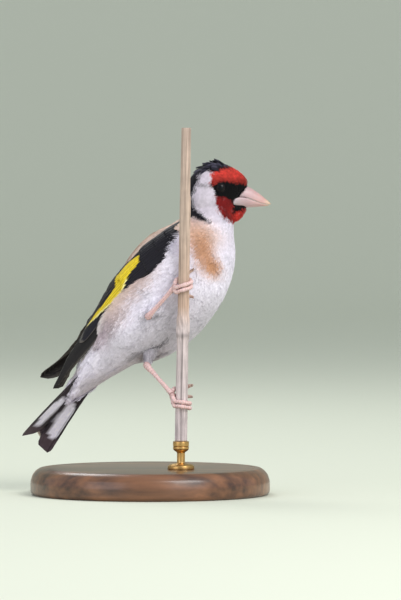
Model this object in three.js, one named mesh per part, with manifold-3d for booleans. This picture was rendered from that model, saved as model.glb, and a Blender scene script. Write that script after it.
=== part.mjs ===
// A European goldfinch, life size, clinging to a cut length of reed on a plain round stand.
// Millimetres. +Z is up, +X is the way the bird looks, and its right side faces -Y.
// The origin is the middle of the underside of the stand's base.

import * as THREE from 'three';
import { mergeVertices } from 'three/addons/utils/BufferGeometryUtils.js';
import Module from 'manifold-3d';

const wasm = await Module();
wasm.setup();

// Driving dimensions

const GAP = 0.3;
const BODY_CENTRE = new THREE.Vector3(3.75, 10.5, 74.25);
const BODY_PITCH = 50.5;
const WING_ROLL = 15;
const TAIL_ROLL = 32;
const BODY_SIDES = 26;
const BODY_STEPS = 2;

// The trunk, from the tip of the undertail coverts to inside the head.
// Each row: place along the body axis, offset towards the belly, tilt of the axis,
// half depth, half width, roll of the belly towards -Y.
const TRUNK = [
  [-54.0, -2.0, 50.5, 0.6, 1.3, 32],
  [-49.0, -2.0, 50.5, 1.6, 4.0, 32],
  [-43.5, -1.9, 50.5, 3.0, 6.0, 31],
  [-33.4, -1.9, 50.5, 7.2, 8.6, 28],
  [-23.3, -1.6, 50.5, 11.3, 11.8, 22],
  [-15.0, 0.2, 50.5, 15.4, 14.0, 17],
  [-5.6, 1.5, 50.5, 17.9, 15.2, 15],
  [3.7, 0.9, 50.5, 19.3, 15.5, 15],
  [15.0, 0.5, 51.5, 18.4, 14.8, 15],
  [25.0, -0.2, 60.0, 14.2, 12.8, 13],
  [31.4, -2.9, 73.0, 10.5, 10.2, 8],
  [36.2, -5.0, 83.0, 8.7, 8.7, 3],
  [41.0, -7.5, 88.0, 7.0, 7.4, 0],
];

// The head, from its back to the base of the bill.
// Each row: x, height of the middle, half height, half width.
const HEAD = [
  [14.6, 111.5, 2.6, 2.2],
  [15.3, 111.9, 6.4, 4.8],
  [17.0, 112.4, 8.6, 6.9],
  [19.2, 112.8, 10.3, 8.2],
  [21.8, 113.1, 11.3, 8.7],
  [24.8, 113.2, 11.7, 8.5],
  [27.8, 112.9, 11.4, 7.9],
  [30.8, 112.4, 10.6, 6.9],
  [33.4, 112.0, 9.4, 5.8],
  [35.4, 112.4, 7.2, 4.7],
  [36.4, 112.6, 5.3, 3.8],
];

const NECK_TOP = { x: 23.1, z: 103.0, tilt: 82 };
const NECK_FOOT = { x: 20.6, z: 98.2, tilt: 70 };

const EYE = { x: 26.7, z: 115.1, side: 6.35, radius: 2.5 };
const LID = { side: 7.9, radius: 2.1, thickness: 0.38, turn: 14 };
const NOSTRIL = { x: 37.4, z: 114.3, side: 1.95, radius: 0.42 };

// The bill. Each row: x, top of the upper bill, mouth line, underside, half width.
const BILL = [
  [33.0, 117.6, 112.5, 107.2, 4.4],
  [36.5, 115.8, 112.0, 107.6, 3.7],
  [39.0, 114.3, 111.4, 107.8, 2.95],
  [41.5, 112.5, 110.5, 108.0, 2.05],
  [43.5, 110.9, 109.7, 108.3, 1.2],
  [44.8, 109.8, 109.3, 108.7, 0.6],
];
const UPPER_TIP = [45.4, 109.2];
const LOWER_TIP = [45.1, 108.9];

// A folded wing, as the sheet that lies on the body.
// Each row: place along the body axis, back edge towards the belly and to the side,
// then the flank edge in the same way. Numbers towards the back are negative.
const WING = [
  [27.0, -11.0, 7.4, -3.0, 11.3],
  [20.0, -12.4, 8.8, -4.0, 13.4],
  [10.0, -14.2, 8.8, -6.4, 14.4],
  [0.0, -14.5, 7.8, -8.0, 13.8],
  [-12.0, -13.6, 5.8, -8.6, 12.0],
  [-24.0, -11.7, 4.0, -7.8, 9.8],
  [-36.0, -9.8, 3.6, -6.3, 8.2],
  [-46.0, -8.4, 4.0, -6.5, 6.5],
  [-52.4, -7.8, 4.4, -7.0, 5.6],
];
const WING_BULGE = 1.4;
const WING_UNDER = -1.6;
const WING_OVER = 0.7;
const WING_CORE_END = -34;
const LEFT_WING_RAISE = 9.6;

// Feathers as thin blades: their thickness, how far an edge lifts over its neighbour, and how
// much lengths and tips vary. Each row of a shape: place from root to tip, share of the width.
const VANE = 0.5;
const SHINGLE = 0.12;
const LENGTH_VARIES = 0.02;
const TIP_SWAYS = 0.03;
const ROUND_VANE = [[0, 0.6], [0.5, 1], [0.88, 0.8], [1, 0.25]];
const COVERT_VANE = [[0, 0.7], [0.72, 1], [1, 0.35]];
const POINTED_VANE = [[0, 0.5], [0.5, 1], [0.85, 0.75], [1, 0.16]];

// The tiers of the folded wing, from the lowest to the highest. In each, the first and the
// last feather are given as root along, root across, tip along, tip across, tip stand-off.
const WING_TIERS = [
  { count: 8, width: 3.9, shape: POINTED_VANE, crowd: 1.6, root: 0.3,
    first: [0, 0.1, -52.4, 0.2, 0.0], last: [2, 0.55, -33.5, 0.74, 1.0] },
  { count: 5, width: 4.4, shape: ROUND_VANE, crowd: 1, root: 0.4,
    first: [4, 0.35, -32.0, 0.74, 1.1], last: [6, 0.8, -27.0, 0.92, 1.5] },
  { count: 3, width: 4.6, shape: ROUND_VANE, crowd: 1, root: 0.6,
    first: [8, 0.74, -24.0, 0.84, 1.6], last: [9, 0.92, -12.0, 0.95, 2.0] },
  { count: 4, width: 3.1, shape: COVERT_VANE, crowd: 1, root: 0.4,
    first: [14, 0.03, -7.5, 0.07, 1.0], last: [13, 0.34, -5.0, 0.42, 1.2] },
  { count: 6, width: 3.7, shape: COVERT_VANE, crowd: 1, root: 0.5,
    first: [15, 0.2, -2.0, 0.32, 1.4], last: [15, 0.96, -6.5, 0.97, 1.7] },
  { count: 5, width: 4.0, shape: COVERT_VANE, crowd: 1, root: 0.5,
    first: [21, 0.1, 7.0, 0.12, 1.5], last: [21, 0.9, 8.5, 0.92, 1.8] },
  { count: 4, width: 4.4, shape: COVERT_VANE, crowd: 1, root: 0.4,
    first: [26.4, 0.14, 15.0, 0.16, 1.5], last: [26.4, 0.84, 15.5, 0.86, 1.7] },
];

// The tail, in its own roll about the body axis.
const TAIL = { root: -33.0, tip: -72.6, notch: -69.2, offset: -1.8, rootSpread: 0.55, tipSpread: 1.95 };
const TAIL_PAIRS = 6;
const TAIL_WIDTH = 4.8;
const TAIL_STEP = 0.28;
const TAIL_FORK = 1.3;
const TAIL_DISH = 0.012;
const TAIL_TIP_VARIES = 0.4;

const PERCH = { y: -10.0, footX: 11.6, footZ: 20.6, topX: 13.6, topZ: 137.6 };
const REED_SIDES = 16;
// Each row: height, radius of the reed.
const REED = [
  [20.6, 2.3],
  [40.0, 2.25],
  [57.0, 2.15],
  [60.5, 2.4],
  [66.0, 2.35],
  [68.0, 2.05],
  [100.0, 1.95],
  [137.6, 1.75],
];

const BASE = { radius: 45, height: 10, foot: 44, shoulder: 7.5, top: 41.5 };
const ROD = { flange: 5, flangeHeight: 1.6, radius: 1.5, collar: 3.0, collarHeight: 3.2 };

const LEGS = {
  right: {
    knee: [6.5, -0.6, 74.8],
    ankle: [-0.6, -7.3, 67.1],
    grip: [8.9, -9.9, 77.8],
    thigh: [4.4, 1.6],
  },
  left: {
    knee: [1.4, 7.0, 59.0],
    ankle: [-1.1, -2.0, 48.4],
    grip: [8.1, -9.9, 38.3],
    thigh: [3.9, 1.5],
  },
};
const TARSUS = [1.1, 0.78, 0.74, 0.9];
const TOE = 0.72;
const KNUCKLE = 1.3;

// Each toe: how far it turns round the reed from the gripping side, positive by the front,
// and its height at its start and its end, measured from the knuckle.
const TOES = {
  right: {
    inner: [190, -1.9, 0.8],
    middle: [205, -0.2, 2.9],
    outer: [-140, 2.2, 6.0],
    hind: [-140, -1.1, -3.0],
  },
  left: {
    inner: [200, -3.9, -5.6],
    middle: [210, -2.3, -3.9],
    outer: [-160, 1.4, 2.9],
    hind: [-140, -0.6, -1.1],
  },
};
const CLAW = { length: 3.0, radius: 0.55, curl: 0.9 };

// Small helpers

// A repeatable random number from 0 to 1.
let seed = 20;
function random() {
  seed = (seed * 16807) % 2147483647;
  return seed / 2147483647;
}

const rad = THREE.MathUtils.degToRad;
const vec = (p) => new THREE.Vector3(p[0], p[1], p[2]);

function mixSmooth(a, b, c, d, t) {
  const bend = -a + 3 * b - 3 * c + d;
  const pull = 2 * a - 5 * b + 4 * c - d;
  return 0.5 * (2 * b + (c - a) * t + pull * t * t + bend * t * t * t);
}

// A row between the given ones: place 0 is the first row, 1 the second, and so on.
function rowAt(rows, place) {
  const last = rows.length - 1;
  const span = Math.min(Math.floor(place), last - 1);
  const t = place - span;
  const pick = (k) => rows[Math.min(Math.max(k, 0), last)];
  const near = [pick(span - 1), pick(span), pick(span + 1), pick(span + 2)];
  return near[1].map((_, i) => mixSmooth(near[0][i], near[1][i], near[2][i], near[3][i], t));
}

function smoothRows(rows, steps) {
  const total = (rows.length - 1) * steps;
  const out = [];
  for (let k = 0; k <= total; k += 1) {
    out.push(rowAt(rows, k / steps));
  }
  return out;
}

// The row whose first value is the wanted one, in a table that runs up or down.
function rowWhere(rows, value) {
  let k = 0;
  const rising = rows[1][0] > rows[0][0];
  while (k < rows.length - 2 && (rising ? rows[k + 1][0] < value : rows[k + 1][0] > value)) {
    k += 1;
  }
  const t = (value - rows[k][0]) / (rows[k + 1][0] - rows[k][0]);
  return rowAt(rows, k + t);
}

// Directions of the body frame, turned about its axis by a roll.
function bodyFrame(tilt, roll) {
  const along = new THREE.Vector3(Math.cos(rad(tilt)), 0, Math.sin(rad(tilt)));
  const down = new THREE.Vector3(Math.sin(rad(tilt)), 0, -Math.cos(rad(tilt)));
  const near = new THREE.Vector3(0, -1, 0);
  const belly = down.clone().multiplyScalar(Math.cos(rad(roll))).addScaledVector(near, Math.sin(rad(roll)));
  const right = near.clone().multiplyScalar(Math.cos(rad(roll))).addScaledVector(down, -Math.sin(rad(roll)));
  return { along, belly, right };
}

// A point given along the body axis, towards the belly and to the right, for a roll.
function bodyPoint(along, belly, right, roll) {
  const frame = bodyFrame(BODY_PITCH, roll);
  return BODY_CENTRE.clone()
    .addScaledVector(frame.along, along)
    .addScaledVector(frame.belly, belly)
    .addScaledVector(frame.right, right);
}

// Solids

function solidFrom(points, faces) {
  const flat = new Float32Array(points.length * 3);
  points.forEach((p, i) => flat.set([p.x, p.y, p.z], i * 3));
  let volume = 0;
  const cross = new THREE.Vector3();
  faces.forEach((f) => {
    volume += points[f[0]].dot(cross.crossVectors(points[f[1]], points[f[2]]));
  });
  const turned = volume < 0 ? faces.map((f) => [f[0], f[2], f[1]]) : faces;
  const mesh = new wasm.Mesh({
    numProp: 3,
    vertProperties: flat,
    triVerts: new Uint32Array(turned.flat()),
  });
  return new wasm.Manifold(mesh);
}

function solidOf(geometry) {
  const bare = geometry.clone();
  bare.deleteAttribute('normal');
  bare.deleteAttribute('uv');
  const merged = mergeVertices(bare, 1e-4);
  const place = merged.getAttribute('position');
  const points = [];
  for (let i = 0; i < place.count; i += 1) {
    points.push(new THREE.Vector3().fromBufferAttribute(place, i));
  }
  const faces = [];
  for (let i = 0; i < merged.index.count; i += 3) {
    const f = [merged.index.getX(i), merged.index.getX(i + 1), merged.index.getX(i + 2)];
    if (f[0] !== f[1] && f[1] !== f[2] && f[2] !== f[0]) {
      faces.push(f);
    }
  }
  return solidFrom(points, faces);
}

function geometryOf(solid) {
  const mesh = largest(solid).getMesh();
  const geometry = new THREE.BufferGeometry();
  geometry.setAttribute('position', new THREE.BufferAttribute(new Float32Array(mesh.vertProperties), 3));
  geometry.setIndex(new THREE.BufferAttribute(new Uint32Array(mesh.triVerts), 1));
  geometry.computeVertexNormals();
  return geometry;
}

function largest(solid) {
  const parts = solid.decompose();
  return parts.reduce((best, part) => (part.volume() > best.volume() ? part : best));
}

function union(solids) {
  return solids.reduce((whole, solid) => whole.add(solid));
}

// A closed body through rings of points, with a point closing each end. A thin sheet has its
// under side from point underAt of each ring on, and both of its faces are split alike.
function loft(rings, startTip, endTip, underAt = Infinity) {
  const count = rings[0].length;
  const points = rings.flat();
  const faces = [];
  for (let r = 0; r < rings.length - 1; r += 1) {
    for (let k = 0; k < count; k += 1) {
      const a = r * count + k;
      const b = r * count + ((k + 1) % count);
      if (k >= underAt) {
        faces.push([a, b, b + count], [a, b + count, a + count]);
      } else {
        faces.push([a, b, a + count], [b, b + count, a + count]);
      }
    }
  }
  const first = points.length;
  const end = (rings.length - 1) * count;
  points.push(startTip, endTip);
  for (let k = 0; k < count; k += 1) {
    const next = (k + 1) % count;
    faces.push([next, k, first], [end + k, end + next, first + 1]);
  }
  return solidFrom(points, faces);
}

function centreOf(ring) {
  const sum = ring.reduce((total, p) => total.add(p), new THREE.Vector3());
  return sum.divideScalar(ring.length);
}

// A round body of changing radius along a smooth path.
function sweep(path, radii, sides, steps) {
  const curve = new THREE.CatmullRomCurve3(path);
  const frames = curve.computeFrenetFrames(steps, false);
  const rings = [];
  for (let k = 0; k <= steps; k += 1) {
    const centre = curve.getPointAt(k / steps);
    const radius = rowAt(radii.map((r) => [r]), (k / steps) * (radii.length - 1))[0];
    const ring = [];
    for (let s = 0; s < sides; s += 1) {
      const angle = (s / sides) * 2 * Math.PI;
      ring.push(
        centre.clone()
          .addScaledVector(frames.normals[k], Math.cos(angle) * radius)
          .addScaledVector(frames.binormals[k], Math.sin(angle) * radius),
      );
    }
    rings.push(ring);
  }
  return loft(rings, centreOf(rings[0]), centreOf(rings[steps]));
}

// A very large block on one side of a tilted plane, set back by half of the gap.
function sideOf(plane, side) {
  const size = 400;
  const block = new THREE.BoxGeometry(size, size, size);
  block.translate(side * (size / 2 + GAP / 2), 0, 0);
  block.rotateY(-rad(plane.tilt));
  block.translate(plane.x, 0, plane.z);
  return solidOf(block);
}

// Body and head

function trunk(grow) {
  const rings = smoothRows(TRUNK, BODY_STEPS).map((row) => {
    const [along, offset, tilt, depth, width, roll] = row;
    const centre = bodyPoint(along, offset, 0, 0);
    const frame = bodyFrame(tilt, roll);
    const ring = [];
    for (let k = 0; k < BODY_SIDES; k += 1) {
      const angle = (k / BODY_SIDES) * 2 * Math.PI;
      ring.push(
        centre.clone()
          .addScaledVector(frame.belly, Math.cos(angle) * (depth + grow))
          .addScaledVector(frame.right, Math.sin(angle) * (width + grow)),
      );
    }
    return ring;
  });
  const start = bodyPoint(TRUNK[0][0] - 0.4 - grow, TRUNK[0][1], 0, 0);
  return loft(rings, start, centreOf(rings[rings.length - 1]));
}

function skull(grow) {
  const rings = smoothRows(HEAD, BODY_STEPS).map((row) => {
    const [x, z, height, width] = row;
    const ring = [];
    for (let k = 0; k < BODY_SIDES; k += 1) {
      const angle = (k / BODY_SIDES) * 2 * Math.PI;
      const side = Math.sin(angle) * (width + grow);
      ring.push(new THREE.Vector3(x, BODY_CENTRE.y + side, z + Math.cos(angle) * (height + grow)));
    }
    return ring;
  });
  const back = new THREE.Vector3(HEAD[0][0] - 0.3 - grow, BODY_CENTRE.y, HEAD[0][1]);
  const lastRow = HEAD[HEAD.length - 1];
  const front = new THREE.Vector3(lastRow[0] + 0.3 + grow, BODY_CENTRE.y, lastRow[1]);
  return loft(rings, back, front);
}

function eyeball(side, radius) {
  const ball = new THREE.SphereGeometry(radius, 16, 10);
  ball.translate(EYE.x, BODY_CENTRE.y + side * EYE.side, EYE.z);
  return solidOf(ball);
}

function lid(side) {
  const ring = new THREE.TorusGeometry(LID.radius, LID.thickness, 5, 16);
  ring.rotateX(Math.PI / 2);
  ring.rotateZ(side * rad(-LID.turn));
  ring.translate(EYE.x, BODY_CENTRE.y + side * LID.side, EYE.z);
  return solidOf(ring);
}

// One half of the bill: arch 1 for the upper bill, -1 for the lower one.
function mandible(arch, tip) {
  const sides = 14;
  const rings = smoothRows(BILL, 2).map((row) => {
    const [x, top, mouth, bottom, width] = row;
    const seam = mouth + arch * GAP / 2;
    const height = Math.abs((arch > 0 ? top : bottom) - seam);
    const ring = [];
    for (let k = 0; k <= sides; k += 1) {
      const angle = (k / sides) * Math.PI;
      const z = seam + arch * Math.sin(angle) * height;
      ring.push(new THREE.Vector3(x, BODY_CENTRE.y + Math.cos(angle) * width, z));
    }
    ring.push(new THREE.Vector3(x, BODY_CENTRE.y, seam));
    return ring;
  });
  const start = new THREE.Vector3(BILL[0][0], BODY_CENTRE.y, BILL[0][2] + arch * 2);
  return loft(rings, start, new THREE.Vector3(tip[0], BODY_CENTRE.y, tip[1]));
}

function nostril(side) {
  const pit = new THREE.SphereGeometry(NOSTRIL.radius, 8, 6);
  pit.scale(1.6, 1, 0.8);
  pit.translate(NOSTRIL.x, BODY_CENTRE.y + side * NOSTRIL.side, NOSTRIL.z);
  return solidOf(pit);
}

// Wings and tail

function wingChord(along) {
  const [, backBelly, backSide, flankBelly, flankSide] = rowWhere(WING, along);
  return Math.hypot(backBelly - flankBelly, backSide - flankSide);
}

// A point of the folded wing: along the body axis, across from the flank edge (0) to the
// back edge (1), and how far it stands off the sheet. Side is 1 for the right wing.
function wingPoint(side, along, across, lift) {
  const [, backBelly, backSide, flankBelly, flankSide] = rowWhere(WING, along);
  const belly = flankBelly + (backBelly - flankBelly) * across;
  const out = flankSide + (backSide - flankSide) * across;
  const chord = wingChord(along);
  const outBelly = -(flankSide - backSide) / chord;
  const outSide = (flankBelly - backBelly) / chord;
  const inside = THREE.MathUtils.clamp(across, 0, 1);
  const bulge = WING_BULGE * Math.min(1, chord / 9) * 4 * inside * (1 - inside);
  const reach = THREE.MathUtils.clamp((WING[0][0] - along) / (WING[0][0] - WING[WING.length - 1][0]), 0, 1);
  const raise = side < 0 ? LEFT_WING_RAISE * reach * reach : 0;
  const off = bulge + lift;
  return bodyPoint(along, belly + outBelly * off - raise, side * (out + outSide * off), WING_ROLL);
}

// The wing's core, a thin sheet under the roots of its feathers.
function wingCore(side) {
  const stations = 12;
  const acrossSteps = 4;
  const rings = [];
  for (let k = 0; k <= stations; k += 1) {
    const t = k / stations;
    const along = WING[0][0] + (WING_CORE_END - WING[0][0]) * t;
    const over = WING_OVER * (1 - 0.6 * t);
    const under = WING_UNDER * (1 - t) - 0.3 * t;
    const ring = [];
    for (let s = 0; s <= acrossSteps; s += 1) {
      ring.push(wingPoint(side, along, s / acrossSteps, over));
    }
    for (let s = acrossSteps; s >= 0; s -= 1) {
      ring.push(wingPoint(side, along, s / acrossSteps, under));
    }
    rings.push(ring);
  }
  return loft(rings, centreOf(rings[0]), centreOf(rings[stations]), acrossSteps + 1);
}

// A feather. corner(t, edge, face) gives its corners: t runs from root to tip, edge from -1
// to 1 across it, and face is 1 on its outer side and -1 on its under side.
function blade(shape, corner) {
  const rings = shape.map(([t, width]) => {
    return [corner(t, -width, 1), corner(t, width, 1), corner(t, width, -1), corner(t, -width, -1)];
  });
  return loft(rings, centreOf(rings[0]), centreOf(rings[rings.length - 1]), 2);
}

function wingFeathers(side, tier) {
  const feathers = [];
  for (let k = 0; k < tier.count; k += 1) {
    const share = (k / (tier.count - 1)) ** tier.crowd;
    const spot = tier.first.map((v, i) => v + (tier.last[i] - v) * share);
    const length = 1 + LENGTH_VARIES * (random() - 0.5);
    const sway = TIP_SWAYS * (random() - 0.5);
    const [rootAlong, rootAcross, tipAlong, tipAcross, tipLift] = spot;
    feathers.push(blade(tier.shape, (t, edge, face) => {
      const along = rootAlong + (tipAlong - rootAlong) * t * length;
      const middle = rootAcross + (tipAcross + sway - rootAcross) * t;
      const across = middle + (edge * tier.width) / 2 / wingChord(along);
      const lift = tier.root + (tipLift - tier.root) * t + (face * VANE) / 2 + edge * SHINGLE;
      return wingPoint(side, along, across, lift);
    }));
  }
  return feathers;
}

function wing(side) {
  return union([wingCore(side), ...WING_TIERS.flatMap((tier) => wingFeathers(side, tier))]);
}

// A point of the tail: along the body axis, to the bird's right, and towards its back.
function tailPoint(along, right, back) {
  return bodyPoint(along, 0, 0, 0)
    .addScaledVector(bodyFrame(BODY_PITCH, 0).belly, TAIL.offset)
    .addScaledVector(bodyFrame(BODY_PITCH, TAIL_ROLL).right, right)
    .addScaledVector(bodyFrame(BODY_PITCH, TAIL_ROLL).belly, -back);
}

// The tail feathers: the middle pair is shortest and lies on top, the outer pair is longest.
function tail() {
  const feathers = [];
  for (const side of [-1, 1]) {
    for (let pair = 0; pair < TAIL_PAIRS; pair += 1) {
      const out = pair / (TAIL_PAIRS - 1);
      const fork = TAIL.notch + (TAIL.tip - TAIL.notch) * out ** TAIL_FORK;
      const tip = fork + TAIL_TIP_VARIES * (random() - 0.5);
      const back = ((TAIL_PAIRS - 1) / 2 - pair + side * 0.25) * TAIL_STEP;
      feathers.push(blade(ROUND_VANE, (t, edge, face) => {
        const spread = TAIL.rootSpread + (TAIL.tipSpread - TAIL.rootSpread) * t;
        const right = side * (pair + 0.5) * spread + (edge * TAIL_WIDTH) / 2;
        const dish = TAIL_DISH * right * right * t;
        return tailPoint(TAIL.root + (tip - TAIL.root) * t, right, back + (face * VANE) / 2 - dish);
      }));
    }
  }
  return union(feathers);
}

// Legs and feet

function perchX(z) {
  const slope = (PERCH.topX - PERCH.footX) / (PERCH.topZ - PERCH.footZ);
  return PERCH.footX + (z - PERCH.footZ) * slope;
}

function thigh(leg) {
  const knee = vec(leg.knee);
  const ankle = vec(leg.ankle);
  const end = ankle.clone().sub(knee);
  const stop = knee.clone().addScaledVector(end, 1 - (TARSUS[0] + GAP) / end.length());
  const middle = knee.clone().lerp(stop, 0.5);
  const [wide, narrow] = leg.thigh;
  return sweep([knee, middle, stop], [wide, wide * 0.62, narrow], 14, 8);
}

function tarsus(leg, grow) {
  const ankle = vec(leg.ankle);
  const grip = vec(leg.grip);
  const run = grip.clone().sub(ankle);
  const stop = ankle.clone().addScaledVector(run, 1 - (KNUCKLE + GAP) / run.length());
  const middle = ankle.clone().lerp(stop, 0.5);
  const shin = sweep([ankle, middle, stop], TARSUS.map((r) => r + grow), 8, 6);
  const heel = new THREE.SphereGeometry(TARSUS[0] + grow, 10, 6);
  heel.translate(ankle.x, ankle.y, ankle.z);
  return shin.add(solidOf(heel));
}

// A point beside the reed: turn 0 is the gripping side, 90 the front, and so on round.
function gripPoint(turn, z, reach) {
  const x = perchX(z) - Math.cos(rad(turn)) * reach;
  const y = PERCH.y - Math.sin(rad(turn)) * reach;
  return new THREE.Vector3(x, y, z);
}

function toePath(leg, toe) {
  const [turn, startZ, endZ] = toe;
  const grip = vec(leg.grip);
  const steps = 6;
  const path = [grip.clone()];
  for (let k = 1; k <= steps; k += 1) {
    const t = k / steps;
    const z = grip.z + startZ + (endZ - startZ) * t;
    const reach = rowWhere(REED, z)[1] + GAP + TOE + 0.25 * (1 - t);
    path.push(gripPoint(turn * t, z, reach));
  }
  return path;
}

function foot(leg, toes) {
  const grip = vec(leg.grip);
  const knuckle = new THREE.SphereGeometry(KNUCKLE, 10, 6);
  knuckle.translate(grip.x, grip.y, grip.z);
  const parts = Object.values(toes).map((toe) => {
    return sweep(toePath(leg, toe), [TOE * 1.1, TOE * 1.1, TOE, TOE * 1.05, TOE * 0.85], 6, 10);
  });
  return union([solidOf(knuckle), ...parts]);
}

function claw(leg, toe) {
  const path = toePath(leg, toe);
  const end = path[path.length - 1];
  const way = end.clone().sub(path[path.length - 2]).normalize();
  const centre = new THREE.Vector3(perchX(end.z), PERCH.y, end.z);
  const away = end.clone().sub(centre).normalize();
  const start = end.clone().addScaledVector(way, GAP);
  const middle = start.clone().addScaledVector(way, CLAW.length * 0.5).addScaledVector(away, 0.15);
  const tip = start.clone().addScaledVector(way, CLAW.length).addScaledVector(away, -CLAW.curl);
  return sweep([start, middle, tip], [CLAW.radius, CLAW.radius * 0.7, 0.12], 6, 5);
}

// Perch and stand

function reed() {
  const rings = smoothRows(REED, 2).map((row) => {
    const [z, radius] = row;
    const ring = [];
    for (let k = 0; k < REED_SIDES; k += 1) {
      const angle = (k / REED_SIDES) * 2 * Math.PI;
      const x = perchX(z) + Math.cos(angle) * radius;
      ring.push(new THREE.Vector3(x, PERCH.y + Math.sin(angle) * radius, z));
    }
    return ring;
  });
  return loft(rings, centreOf(rings[0]), centreOf(rings[rings.length - 1]));
}

function turned(profile, x, y, segments) {
  const points = profile.map((p) => new THREE.Vector2(p[0], p[1]));
  const lathe = new THREE.LatheGeometry(points, segments);
  lathe.rotateX(Math.PI / 2);
  lathe.translate(x, y, 0);
  return solidOf(lathe);
}

function standBase() {
  const { radius, height, foot: footRadius, shoulder, top } = BASE;
  const profile = [
    [0, 0],
    [footRadius, 0],
    [radius, 1],
    [radius, 5],
    [radius - 0.8, shoulder],
    [radius - 2, height - 1],
    [top, height],
    [0, height],
  ];
  return turned(profile, 0, 0, 48);
}

function standRod() {
  const low = BASE.height + GAP;
  const high = PERCH.footZ - GAP;
  const neck = high - ROD.collarHeight;
  const profile = [
    [0, low],
    [ROD.flange, low],
    [ROD.flange, low + ROD.flangeHeight * 0.6],
    [ROD.flange - 0.8, low + ROD.flangeHeight],
    [ROD.radius, low + ROD.flangeHeight + 0.5],
    [ROD.radius, neck - 0.8],
    [ROD.collar - 0.4, neck],
    [ROD.collar, neck + 0.5],
    [ROD.collar, high],
    [0, high],
  ];
  return turned(profile, PERCH.footX, PERCH.y, 24);
}

// Assembly

const FINISHES = {
  white_plumage: { color: 0xe4dfe6, roughness: 0.9, metalness: 0 },
  black_plumage: { color: 0x15151c, roughness: 0.7, metalness: 0 },
  eye: { color: 0x0a0a0d, roughness: 0.08, metalness: 0 },
  bill: { color: 0xecd2cf, roughness: 0.45, metalness: 0 },
  leg_skin: { color: 0xd9a79c, roughness: 0.6, metalness: 0 },
  claw: { color: 0xb79a86, roughness: 0.4, metalness: 0 },
  reed: { color: 0xc9b59c, roughness: 0.7, metalness: 0 },
  stand_wood: { color: 0x5b3a25, roughness: 0.4, metalness: 0 },
  stand_brass: { color: 0xb9975b, roughness: 0.3, metalness: 1 },
};

const group = new THREE.Group();

function addNode(name, solid, finish) {
  const mesh = new THREE.Mesh(geometryOf(solid), new THREE.MeshStandardMaterial(FINISHES[finish]));
  mesh.name = name;
  group.add(mesh);
}

const body = trunk(0);
const bodyRoom = trunk(GAP).add(skull(GAP));
const headRoom = skull(GAP);

const torso = body.intersect(sideOf(NECK_FOOT, -1));
addNode('torso', torso, 'white_plumage');
addNode('neck', body.intersect(sideOf(NECK_FOOT, 1)).intersect(sideOf(NECK_TOP, -1)), 'white_plumage');

const eyeRooms = union([1, -1].map((side) => eyeball(side, EYE.radius + GAP)));
const lids = union([1, -1].map((side) => lid(side)));
const head = body.add(skull(0)).intersect(sideOf(NECK_TOP, 1)).add(lids).subtract(eyeRooms);
addNode('head', head, 'white_plumage');
addNode('eye_right', eyeball(-1, EYE.radius), 'eye');
addNode('eye_left', eyeball(1, EYE.radius), 'eye');

const nostrils = union([1, -1].map((side) => nostril(side)));
addNode('bill_upper', mandible(1, UPPER_TIP).subtract(headRoom).subtract(nostrils), 'bill');
addNode('bill_lower', mandible(-1, LOWER_TIP).subtract(headRoom), 'bill');

addNode('wing_right', wing(1).subtract(bodyRoom), 'black_plumage');
addNode('wing_left', wing(-1).subtract(bodyRoom), 'black_plumage');
addNode('tail', tail().subtract(bodyRoom), 'black_plumage');

for (const [side, leg] of Object.entries(LEGS)) {
  addNode(`thigh_${side}`, thigh(leg).subtract(bodyRoom).subtract(tarsus(leg, GAP)), 'white_plumage');
  addNode(`tarsus_${side}`, tarsus(leg, 0), 'leg_skin');
  addNode(`foot_${side}`, foot(leg, TOES[side]), 'leg_skin');
  for (const [name, toe] of Object.entries(TOES[side])) {
    addNode(`claw_${name}_${side}`, claw(leg, toe), 'claw');
  }
}

addNode('perch_reed', reed(), 'reed');
addNode('stand_rod', standRod(), 'stand_brass');
addNode('stand_base', standBase(), 'stand_wood');

export default group;
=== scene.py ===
# %% [markdown]
# A European goldfinch, life size, clinging to a cut length of reed on a small stand.
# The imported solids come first. They fix the place and size of every piece, so nothing is
# fitted afterwards: each piece below is made where its solid already stands.

# %% The frame
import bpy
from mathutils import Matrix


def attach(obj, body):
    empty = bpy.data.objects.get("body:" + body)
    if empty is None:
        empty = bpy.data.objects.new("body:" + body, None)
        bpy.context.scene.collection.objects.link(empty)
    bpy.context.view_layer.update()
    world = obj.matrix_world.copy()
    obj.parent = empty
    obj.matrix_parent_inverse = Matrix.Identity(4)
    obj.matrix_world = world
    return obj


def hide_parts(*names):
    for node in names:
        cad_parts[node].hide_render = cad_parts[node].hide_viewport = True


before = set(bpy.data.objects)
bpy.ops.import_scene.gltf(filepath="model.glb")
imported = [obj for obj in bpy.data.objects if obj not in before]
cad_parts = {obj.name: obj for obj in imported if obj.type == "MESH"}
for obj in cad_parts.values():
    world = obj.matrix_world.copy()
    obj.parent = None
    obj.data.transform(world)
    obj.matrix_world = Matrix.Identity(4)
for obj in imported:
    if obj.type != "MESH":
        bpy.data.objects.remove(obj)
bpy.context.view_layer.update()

# %% Libraries and units
import math

import bpy
import numpy as np
from mathutils import Vector
from mathutils.bvhtree import BVHTree
from mathutils.kdtree import KDTree

MM = 0.001
SEED = 7
chance = np.random.default_rng(SEED)
print("Blender", bpy.app.version_string)

# %% [markdown]
# The bird's form is kept as a few rows of sizes, as a sculptor keeps sections on paper.
# A smooth curve through the rows gives any section between them. All sizes are millimetres
# in the solids' own frame: the bird looks towards +X, and its right side faces -Y.

# %% Sections of the body
BODY_CENTRE = np.array([3.75, 10.5, 74.25])
BODY_PITCH = 50.5
BODY_ROLL = 15
COAT_DEPTH = 0.7

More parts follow.
